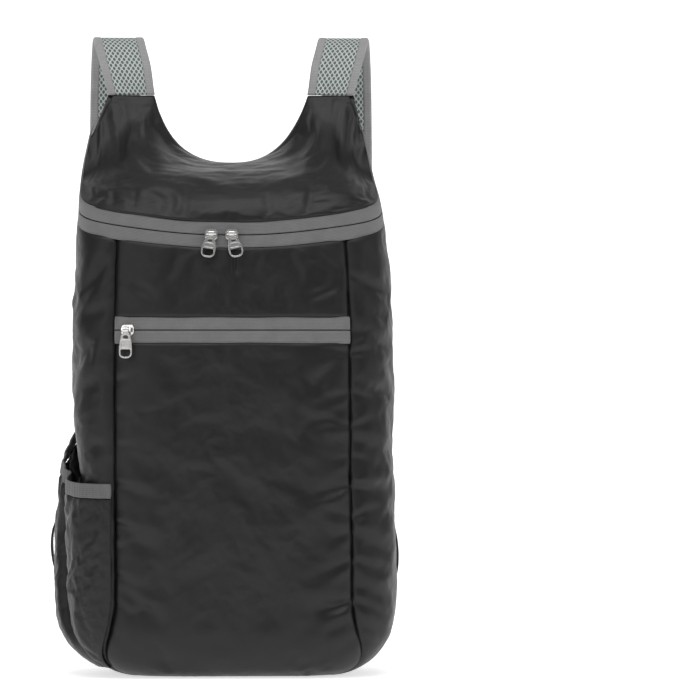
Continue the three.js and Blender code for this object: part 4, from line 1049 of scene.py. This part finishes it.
# A tab's outline: gap under the bar, roundness of its foot, rise of its flanks, its cheeks and its neck,
# which is half widths with their distances below the top.
TAB_GAP = 0.5
FOOT_ROUNDNESS = 0.42
FLANK_RISE = 4
CHEEK_SHARE = 0.44
CHEEK_DROP = 5.5
NECK = [(3.8, 2.0), (2.9, 0.0)]
# Width and height of the upper hole, and its middle's distance below the top.
UPPER_HOLE = (4.0, 2.8)
UPPER_HOLE_DROP = 3.0
# The sunk middle and its floor, by their distances from the plate's edges.
SUNK_DROP = 5.4
SUNK_RISE = 8.4
SUNK_MARGIN = 4.0
FLOOR_MARGIN = 3.4
FLOOR_LAP = 0.6
FLOOR_THICKNESS = 0.7
# The link between the plate and the eye, and the least area of the eye's flat ends.
LINK_HALF = 2.3
LINK_LAP = 1.2
LINK_THICKNESS = 1.3
EYE_END_AREA = 8
FRONT_COLUMNS = 12


def front_facet(x, z):
    """Point on the flat facet of the front at x and height z, and the facet's turn about the vertical."""
    z_here = np.array([z])
    angle = np.arctan2(x, square_depth(x / HALF_WIDTH, section(z_here)[2], FRONT_SQUARENESS))[0]
    start = seam_angle(-1.0, "front", z_here)[0]
    end = seam_angle(1.0, "front", z_here)[0]
    place = (angle - start) / (end - start) * FRONT_COLUMNS
    column = math.floor(place)
    corners = wall(start + (end - start) * np.array([column, column + 1]) / FRONT_COLUMNS, np.array([z, z]))
    turn = math.atan2(corners[1, 1] - corners[0, 1], corners[1, 0] - corners[0, 0])
    return corners[0] + (corners[1] - corners[0]) * (place - column), turn


def rounded_loop(width, height, middle, radius):
    """Points round a rounded rectangle about (0, middle)."""
    points = []
    for sx, sz, start in ((1, -1, -90), (1, 1, 0), (-1, 1, 90), (-1, -1, 180)):
        for step in range(7):
            a = math.radians(start + 15 * step)
            points.append((sx * (width / 2 - radius) + radius * math.cos(a),
                           middle + sz * (height / 2 - radius) + radius * math.sin(a)))
    return points


def plate_mesh(name, loops, thickness, rounding):
    """A flat plate with rounded edges in the XZ plane, cut out of the first loop less the others."""
    curve = bpy.data.curves.new(name, "CURVE")
    curve.dimensions = "2D"
    curve.fill_mode = "BOTH"
    curve.extrude = thickness / 2 - rounding
    curve.bevel_depth = rounding
    curve.bevel_resolution = 2
    curve.offset = -rounding
    for loop in loops:
        spline = curve.splines.new("POLY")
        spline.points.add(len(loop) - 1)
        spline.points.foreach_set("co", np.array([(x, z, 0, 1) for x, z in loop]).ravel())
        spline.use_cyclic_u = True
    holder = bpy.data.objects.new(name, curve)
    mesh = bpy.data.meshes.new_from_object(holder)
    bpy.data.objects.remove(holder)
    mesh.transform(Matrix.Rotation(math.pi / 2, 4, "X"))
    return mesh


def tab_loops(length, width):
    """Loops of a tab's three plates: the plate with its holes, the sunk floor and the link to the eye."""
    bottom = KNUCKLE_RADIUS - length
    top = -KNUCKLE_RADIUS - TAB_GAP
    radius = width * FOOT_ROUNDNESS
    turned = [math.radians(degrees) for degrees in range(-90, 91, 9)]
    aside = [(width / 2 - radius) * (1 if a > 0 else -1) for a in turned]
    outline = [(radius * math.sin(a) + x, bottom + radius * (1 - math.cos(a)))
               for a, x in zip(turned, aside)]
    flank = [(width / 2, bottom + radius + FLANK_RISE), (width * CHEEK_SHARE, top - CHEEK_DROP)]
    flank += [(x, top - drop) for x, drop in NECK]
    outline += flank + [(-x, z) for x, z in reversed(flank)]
    inner = radius - TAB_RIM
    lower = [(inner * math.sin(a) + x, bottom + radius - inner * math.cos(a)) for a, x in zip(turned, aside)]
    hole_top = bottom + TAB_RIM + LOWER_HOLE
    lower += [(width / 2 - TAB_RIM, hole_top), (TAB_RIM - width / 2, hole_top)]
    upper = rounded_loop(*UPPER_HOLE, top - UPPER_HOLE_DROP, 1.3)
    sunk_top, sunk_foot = top - SUNK_DROP, bottom + SUNK_RISE
    height, middle = sunk_top - sunk_foot, (sunk_top + sunk_foot) / 2
    sunk = rounded_loop(width - SUNK_MARGIN, height, middle, 0.9)
    floor = rounded_loop(width - FLOOR_MARGIN, height + FLOOR_LAP, middle, 1.1)
    link_foot = top - LINK_LAP
    link = [(LINK_HALF, -LINK_LAP), (-LINK_HALF, -LINK_LAP), (-LINK_HALF, link_foot), (LINK_HALF, link_foot)]
    return [outline, lower, upper, sunk], [floor], [link]


def tab_seat(x, height, length):
    """Place of a tab's hinge over the front's flat facet, leaning as the cloth below it does."""
    here, turn = front_facet(x, height)
    below, _ = front_facet(x, height - length)
    lean = math.atan2(here[1] - below[1], length)
    return (Matrix.Translation(Vector(here)) @ Matrix.Rotation(turn, 4, "Z") @ Matrix.Rotation(-lean, 4, "X")
            @ Matrix.Translation((0, -BAR_STAND_OFF, 0)))


def add_eye(edit):
    """The eye round the slider's bar, with rounded rims, added to the mesh being edited."""
    across = Matrix.Rotation(math.pi / 2, 4, "Y")
    eye = bmesh.ops.create_cone(edit, segments=28, radius1=KNUCKLE_RADIUS, radius2=KNUCKLE_RADIUS,
                                depth=KNUCKLE_LENGTH, cap_ends=True, matrix=across)
    rim = [edge for vert in eye["verts"] for edge in vert.link_edges
           if len({face.calc_area() > EYE_END_AREA for face in edge.link_faces}) == 2]
    bmesh.ops.bevel(edit, geom=list(set(rim)), offset=0.4, segments=2, affect="EDGES")


def pull_object(name, x, height, length, width, cant, material):
    """One pull tab: eye, neck, a plate with a small upper hole, a sunk middle and a D-shaped lower hole."""
    plate, floor, link = tab_loops(length, width)
    turned = Matrix.Rotation(math.radians(cant), 4, "Y")
    edit = bmesh.new()
    for loops, thickness, rounding, placed in ((plate, TAB_THICKNESS, 0.3, turned),
                                               (floor, FLOOR_THICKNESS, 0.1, turned),
                                               (link, LINK_THICKNESS, 0.25, Matrix.Identity(4))):
        mesh = plate_mesh(name, loops, thickness, rounding)
        mesh.transform(placed)
        edit.from_mesh(mesh)
        bpy.data.meshes.remove(mesh)
    add_eye(edit)
    seat = tab_seat(x, height, length)
    bmesh.ops.transform(edit, matrix=Matrix.Scale(MM, 4) @ seat, verts=edit.verts)
    bmesh.ops.recalc_face_normals(edit, faces=edit.faces)
    mesh = bpy.data.meshes.new(name + "_tab")
    edit.to_mesh(mesh)
    edit.free()
    mesh.shade_smooth()
    mesh.set_sharp_from_angle(angle=math.radians(35))
    made = bpy.data.objects.new(name + "_tab", mesh)
    bpy.context.scene.collection.objects.link(made)
    made.data.materials.append(material)
    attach(made, PULL_BODIES[name])
    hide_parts(name)


# Finishes.


class Nodes:
    """Short names for adding and linking the shader nodes of one tree."""

    def __init__(self, tree):
        self.tree = tree

    def add(self, kind, **values):
        node = self.tree.nodes.new(kind)
        for key, value in values.items():
            setattr(node, key, value)
        return node

    def link(self, source, target):
        self.tree.links.new(source, target)

    def feed(self, socket, value):
        if isinstance(value, bpy.types.NodeSocket):
            self.link(value, socket)
        else:
            socket.default_value = value

    def maths(self, operation, first, second=0.0, third=0.0):
        node = self.add("ShaderNodeMath", operation=operation)
        for socket, value in zip(node.inputs, (first, second, third)):
            self.feed(socket, value)
        return node.outputs[0]

    def ranged(self, value, low, high, to_low, to_high):
        node = self.add("ShaderNodeMapRange")
        for socket, setting in zip(node.inputs, (value, low, high, to_low, to_high)):
            self.feed(socket, setting)
        return node.outputs[0]

    def noise(self, place, scale, detail=2.0, roughness=0.5):
        node = self.add("ShaderNodeTexNoise")
        self.feed(node.inputs["Vector"], place)
        self.feed(node.inputs["Scale"], scale)
        self.feed(node.inputs["Detail"], detail)
        self.feed(node.inputs["Roughness"], roughness)
        return node.outputs["Fac"]

    def mixed(self, share, first, second):
        node = self.add("ShaderNodeMix", data_type="RGBA")
        self.feed(node.inputs[0], share)
        self.feed(node.inputs[6], first)
        self.feed(node.inputs[7], second)
        return node.outputs[2]

    def parts(self, place):
        node = self.add("ShaderNodeSeparateXYZ")
        self.feed(node.inputs[0], place)
        return node.outputs[0], node.outputs[1], node.outputs[2]


def effect_group(name, settings, results):
    """A shader node group with a place, settings and results, and its input and output sockets."""
    group = bpy.data.node_groups.new(name, "ShaderNodeTree")
    group.interface.new_socket("Place", in_out="INPUT", socket_type="NodeSocketVector")
    for label, value in settings.items():
        socket = group.interface.new_socket(label, in_out="INPUT", socket_type="NodeSocketFloat")
        socket.default_value = value
    for label in results:
        group.interface.new_socket(label, in_out="OUTPUT", socket_type="NodeSocketFloat")
    nodes = Nodes(group)
    return group, nodes, nodes.add("NodeGroupInput").outputs, nodes.add("NodeGroupOutput").inputs


def woven_grain():
    """Plain weave: threads that pass over and under each other, with slightly uneven tightness."""
    settings = {"Pitch": 0.5, "Unevenness": 0.4}
    group, nodes, given, result = effect_group("woven_grain", settings, ["Height"])
    x, y, _ = nodes.parts(given["Place"])
    turn = nodes.maths("DIVIDE", math.pi, given["Pitch"])
    warp = nodes.maths("SINE", nodes.maths("MULTIPLY", x, turn))
    weft = nodes.maths("SINE", nodes.maths("MULTIPLY", y, turn))
    cross = nodes.maths("MULTIPLY", warp, weft)
    warp_ridge = nodes.maths("ABSOLUTE", warp)
    weft_ridge = nodes.maths("ABSOLUTE", weft)
    over = nodes.maths("GREATER_THAN", cross, 0.0)
    ridge = nodes.maths("ADD", nodes.maths("MULTIPLY", over, warp_ridge),
                        nodes.maths("MULTIPLY", nodes.maths("SUBTRACT", 1.0, over), weft_ridge))
    uneven = nodes.maths("MULTIPLY", nodes.noise(given["Place"], 1.3, 2.0), given["Unevenness"])
    nodes.link(nodes.maths("ADD", ridge, uneven), result["Height"])
    return group


def rib_lines():
    """Even ribs across a tape, with a little irregularity."""
    group, nodes, given, result = effect_group("rib_lines", {"Pitch": 1.0, "Wander": 0.15}, ["Height"])
    _, y, _ = nodes.parts(given["Place"])
    wander = nodes.maths("MULTIPLY", nodes.noise(given["Place"], 0.5, 1.0), given["Wander"])
    around = nodes.maths("MULTIPLY", nodes.maths("ADD", y, wander), 2 * math.pi)
    turn = nodes.maths("DIVIDE", around, given["Pitch"])
    nodes.link(nodes.maths("MULTIPLY_ADD", nodes.maths("SINE", turn), 0.5, 0.5), result["Height"])
    return group


def net_holes():
    """Diamond holes of an open net: 1 inside a hole, 0 on the threads, with a soft rim."""
    group, nodes, given, result = effect_group("net_holes", {"Across": 4.0, "Along": 5.2}, ["Hole"])
    x, y, _ = nodes.parts(given["Place"])
    a = nodes.maths("DIVIDE", x, given["Across"])
    b = nodes.maths("DIVIDE", y, given["Along"])
    first = nodes.maths("SINE", nodes.maths("MULTIPLY", nodes.maths("ADD", a, b), math.pi))
    second = nodes.maths("SINE", nodes.maths("MULTIPLY", nodes.maths("SUBTRACT", a, b), math.pi))
    open_share = nodes.maths("ABSOLUTE", nodes.maths("MULTIPLY", first, second))
    nodes.link(nodes.ranged(open_share, 0.28, 0.5, 0.0, 1.0), result["Hole"])
    return group


def soft_wear():
    """Slow, soft variation of tone and gloss over a surface, with a finer mottling in it."""
    settings = {"Size": 30.0, "Fine": 0.35}
    group, nodes, given, result = effect_group("soft_wear", settings, ["Tone", "Fine Tone"])
    scale = nodes.maths("DIVIDE", 1.0, given["Size"])
    broad = nodes.noise(given["Place"], scale, 3.0, 0.55)
    fine = nodes.noise(given["Place"], nodes.maths("MULTIPLY", scale, 11.0), 3.0, 0.6)
    share = nodes.maths("MULTIPLY_ADD", nodes.maths("SUBTRACT", fine, 0.5), given["Fine"], broad)
    nodes.link(share, result["Tone"])
    nodes.link(fine, result["Fine Tone"])
    return group


WOVEN_GRAIN = woven_grain()
RIB_LINES = rib_lines()
SOFT_WEAR = soft_wear()
NET_HOLES = net_holes()


def place_group(nodes, group, **values):
    """A shader node group placed in a tree and fed, with underscores for the spaces of its labels."""
    node = nodes.add("ShaderNodeGroup", node_tree=group)
    for label, value in values.items():
        nodes.feed(node.inputs[label.replace("_", " ")], value)
    return node.outputs


def set_values(node, **values):
    """Fixed values for a shader node's inputs, each by its label with underscores for spaces."""
    for label, value in values.items():
        node.inputs[label.replace("_", " ")].default_value = value


def finish(name, on_cloth=True):
    """A new material: its node helper, its shader and the place on the surface in mm."""
    material = bpy.data.materials.new(name)
    material.use_nodes = True
    nodes = Nodes(material.node_tree)
    shader = material.node_tree.nodes["Principled BSDF"]
    if on_cloth:
        place = nodes.add("ShaderNodeAttribute", attribute_name="cloth_mm").outputs["Vector"]
    else:
        scaled = nodes.add("ShaderNodeVectorMath", operation="SCALE")
        nodes.link(nodes.add("ShaderNodeTexCoord").outputs["Object"], scaled.inputs[0])
        set_values(scaled, Scale=1 / MM)
        place = scaled.outputs[0]
    return material, nodes, shader, place


def bump(nodes, shader, height, strength, distance):
    """Relief on a shader from a height, with its distance in mm."""
    node = nodes.add("ShaderNodeBump")
    set_values(node, Strength=strength, Distance=distance * MM)
    nodes.feed(node.inputs["Height"], height)
    nodes.link(node.outputs[0], shader.inputs["Normal"])


def grey(value, warm=0.0):
    """A grey colour, warmer where warm is above 0 and cooler below it."""
    return (value * (1 + warm), value, value * (1 - warm), 1)


def nylon_finish():
    """Thin black shiny nylon: fine plain weave, soft uneven gloss."""
    material, nodes, shader, place = finish("black_nylon")
    weave = place_group(nodes, WOVEN_GRAIN, Place=place, Pitch=0.45, Unevenness=0.6)
    wear = place_group(nodes, SOFT_WEAR, Place=place, Size=36.0, Fine=0.4)
    nodes.link(nodes.mixed(wear["Tone"], grey(0.0045), grey(0.0075, -0.02)), shader.inputs["Base Color"])
    nodes.link(nodes.ranged(wear["Tone"], 0.3, 0.7, 0.36, 0.46), shader.inputs["Roughness"])
    set_values(shader, Specular_IOR_Level=0.34)
    bump(nodes, shader, nodes.maths("MULTIPLY_ADD", wear["Fine Tone"], 2.0, weave["Height"]), 0.25, 0.12)
    return material


def tape_finish(name, light, pitch, rib):
    """Grey woven tape: fine ribs along it over a plain weave, with painted shade darkening the grooves
    between the ribs.
    """
    material, nodes, shader, place = finish(name)
    weave = place_group(nodes, WOVEN_GRAIN, Place=place, Pitch=pitch, Unevenness=0.5)
    ribs = place_group(nodes, RIB_LINES, Place=place, Pitch=rib, Wander=0.1)
    wear = place_group(nodes, SOFT_WEAR, Place=place, Size=14.0, Fine=0.7)
    tone = nodes.mixed(wear["Tone"], grey(light * 0.82), grey(light * 1.18))
    # Painted shade: the base colour darkens to three quarters in the grooves between the ribs.
    rib_groove_shade = nodes.maths("MULTIPLY_ADD", ribs["Height"], 0.25, 0.75)
    shaded = nodes.add("ShaderNodeMix", data_type="RGBA", blend_type="MULTIPLY")
    shaded.inputs[0].default_value = 1.0
    nodes.link(tone, shaded.inputs[6])
    nodes.link(rib_groove_shade, shaded.inputs[7])
    nodes.link(shaded.outputs[2], shader.inputs["Base Color"])
    set_values(shader, Roughness=0.85, Specular_IOR_Level=0.25, Sheen_Weight=0.2)
    height = nodes.maths("MULTIPLY_ADD", ribs["Height"], 0.8, weave["Height"])
    bump(nodes, shader, height, 0.5, 0.2)
    return material


def net_finish():
    """Grey spacer net whose diamond holes down to its lining are painted dark, as painted shade in the
    holes.
    """
    material, nodes, shader, place = finish("grey_spacer_net")
    holes = place_group(nodes, NET_HOLES, Place=place, Across=4.0, Along=5.4)
    weave = place_group(nodes, WOVEN_GRAIN, Place=place, Pitch=0.7, Unevenness=0.8)
    wear = place_group(nodes, SOFT_WEAR, Place=place, Size=12.0, Fine=0.8)
    thread = nodes.mixed(wear["Tone"], (0.46, 0.51, 0.495, 1), (0.64, 0.69, 0.675, 1))
    # The holes take a dark grey: painted shade down in the net's holes, over its lining.
    nodes.link(nodes.mixed(holes["Hole"], thread, (0.13, 0.147, 0.142, 1)), shader.inputs["Base Color"])
    set_values(shader, Roughness=0.9, Specular_IOR_Level=0.2)
    height = nodes.maths("MULTIPLY_ADD", holes["Hole"], -4.0, weave["Height"])
    bump(nodes, shader, height, 0.6, 0.3)
    return material


def plastic_finish():
    """Moulded black plastic with a fine spark-eroded grain."""
    material, nodes, shader, place = finish("moulded_plastic", on_cloth=False)
    wear = place_group(nodes, SOFT_WEAR, Place=place, Size=9.0, Fine=0.5)
    nodes.link(nodes.mixed(wear["Tone"], grey(0.012), grey(0.022)), shader.inputs["Base Color"])
    nodes.link(nodes.ranged(wear["Fine Tone"], 0.3, 0.7, 0.38, 0.55), shader.inputs["Roughness"])
    bump(nodes, shader, wear["Fine Tone"], 0.2, 0.1)
    return material


def nickel_finish():
    """Polished nickel with faint tumbling marks and duller patches."""
    material, nodes, shader, place = finish("polished_nickel", on_cloth=False)
    wear = place_group(nodes, SOFT_WEAR, Place=place, Size=4.0, Fine=0.8)
    nodes.link(nodes.mixed(wear["Tone"], grey(0.50, 0.02), grey(0.66, 0.02)), shader.inputs["Base Color"])
    set_values(shader, Metallic=1.0)
    nodes.link(nodes.ranged(wear["Fine Tone"], 0.3, 0.7, 0.16, 0.3), shader.inputs["Roughness"])
    bump(nodes, shader, wear["Fine Tone"], 0.12, 0.06)
    return material


NYLON = nylon_finish()
ZIP_TAPE = tape_finish("grey_zip_tape", 0.175, 0.5, 1.1)
ELASTIC = tape_finish("grey_elastic", 0.14, 0.6, 1.6)
SPACER_MESH = net_finish()
BINDING = tape_finish("grey_binding", 0.36, 0.5, 1.3)
WEBBING = tape_finish("black_webbing", 0.02, 0.6, 1.8)
PLASTIC = plastic_finish()
NICKEL = nickel_finish()

# How much larger each cloth is cut than the place it fills, and how strongly it is blown out.
SETTLING = {
    "front_cloth_lower": (0.003, 0.15), "front_cloth_upper": (0.003, 0.12), "side_cloth_left": (0.006, 0.1),
    "side_cloth_right": (0.008, 0.1), "back_cloth": (0.01, 0.25), "lid_cloth": (0.006, 0.2),
    "side_pocket_cloth": (0.012, 0.2),
}

# The bag. Each cloth is its name, its grid with the way it is cut, and the CAD node that it replaces.
CLOTHS = [
    ("front_cloth_lower", front_lower_grid(), "front_panel_lower"),
    ("front_cloth_upper", front_upper_grid(), "front_panel_upper"),
    ("side_cloth_left",
     gore_grid(BACK_LEFT, FRONT_LEFT, False, [], LEFT_SIDE_CREASES, 31, pocket_side_dip), "left_gore"),
    ("side_cloth_right",
     gore_grid(FRONT_RIGHT, BACK_RIGHT, True, RIGHT_SEAM_PUCKERS, RIGHT_SIDE_CREASES, 33, no_dip),
     "right_gore"),
    ("back_cloth", back_grid(), "back_panel"),
    ("lid_cloth", lid_grid(), "lid_panel"),
    ("side_pocket_cloth", pocket_grid(), "side_pocket"),
]
for cloth_name, (grid, cut), node in CLOTHS:
    shaped = settled(grid, *SETTLING[cloth_name])
    ride_and_replace(sheet_object(cloth_name, shaped, CLOTH, cut), NYLON, "bag_cloth", node)
base_object(NYLON)
band, band_cut = band_grid()
ride_and_replace(sheet_object("side_pocket_band", band, BAND_THICKNESS, band_cut), ELASTIC, "elastic_band",
                 "side_pocket_band")

# Zips: name, path, columns of a tape's grid and teeth of the chain.
TAPE_THICKNESS = 0.7
ZIPS = [("main_zip", main_zip_path, 240, 360), ("pocket_zip", pocket_zip_path, 120, 150)]
for zip_name, path, columns, _ in ZIPS:
    for side, word in ((-1, "lower"), (1, "upper")):
        tape_name = f"{zip_name}_tape_{word}"
        grid, cut = tape_grid(path, side, columns)
        ride_and_replace(sheet_object(tape_name, grid, TAPE_THICKNESS, cut), ZIP_TAPE, "zip_tape", tape_name)
for zip_name, path, _, teeth in ZIPS:
    coil_object(f"{zip_name}_chain", path, teeth, ZIP_TAPE, f"{zip_name}_coil")

for side in SIDES:
    strap_objects(side, SPACER_MESH, BINDING)
    webbing_object(side, WEBBING)
    loop_tape_object(side, WEBBING)

for pull in PULLS:
    pull_object(*pull, NICKEL)

for name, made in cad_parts.items():
    if not made.hide_render:
        made.data.materials.clear()
        made.data.materials.append(PLASTIC if name.startswith("ladder_lock") else NICKEL)

# Camera at the photograph's angle: focal length and sensor in mm, place in metres, turn in radians.
CAMERA_LENS = 191.0
SENSOR_WIDTH = 36.0
CAMERA_PLACE = (0.0, -3.0, 0.2607)
CAMERA_TURN = -0.032
scene = bpy.context.scene
camera_data = bpy.data.cameras.new("camera")
camera_data.lens = CAMERA_LENS
camera_data.sensor_width = SENSOR_WIDTH
camera = bpy.data.objects.new("camera", camera_data)
camera.location = CAMERA_PLACE
camera.rotation_euler = (math.pi / 2, 0, CAMERA_TURN)
scene.collection.objects.link(camera)
scene.camera = camera

# A floor that rises behind the bag in one sweep, so that no horizon shows: y and z, and its half width.
FLOOR_SWEEP = [(-2.5, 0.0), (1.2, 0.0), (1.7, 0.05), (2.1, 0.25), (2.4, 0.7), (2.5, 1.4), (2.5, 3.0)]
FLOOR_HALF = 4.0
sweep_points = [(x / MM, y / MM, z / MM) for y, z in FLOOR_SWEEP for x in (-FLOOR_HALF, FLOOR_HALF)]
floor = mesh_object("floor", sweep_points, grid_faces(len(FLOOR_SWEEP), 2))
floor_material = bpy.data.materials.new("pale_floor")
floor_material.use_nodes = True
floor_shader = floor_material.node_tree.nodes["Principled BSDF"]
set_values(floor_shader, Base_Color=grey(0.96), Roughness=0.8, Specular_IOR_Level=0.0)
set_values(floor_shader, Emission_Color=grey(1.0), Emission_Strength=0.62)
floor.data.materials.append(floor_material)


def area_light(name, place, power, size):
    """A soft light from a rectangle, aimed at the middle of the bag."""
    data = bpy.data.lights.new(name, "AREA")
    data.energy = power
    data.shape = "RECTANGLE"
    data.size, data.size_y = size
    made = bpy.data.objects.new(name, data)
    made.location = place
    made.rotation_euler = (Vector(LIGHT_AIM) - Vector(place)).to_track_quat("-Z", "Y").to_euler()
    scene.collection.objects.link(made)


# Lights: name, place, power in watts and size; and the strength of the white all round.
LIGHT_AIM = (0, 0, 0.3)
LIGHTS = [
    ("top_softbox", (0.0, -0.7, 1.9), 17, (1.6, 1.2)),
    ("front_left_softbox", (-1.3, -2.0, 0.9), 7, (0.7, 1.0)),
    ("right_softbox", (1.8, -0.8, 0.8), 4, (0.7, 1.2)),
]
WORLD_STRENGTH = 0.32
for light in LIGHTS:
    area_light(*light)

world = bpy.data.worlds.new("white_studio")
world.use_nodes = True
set_values(world.node_tree.nodes["Background"], Color=grey(1.0), Strength=WORLD_STRENGTH)
scene.world = world
scene.view_settings.view_transform = "Standard"
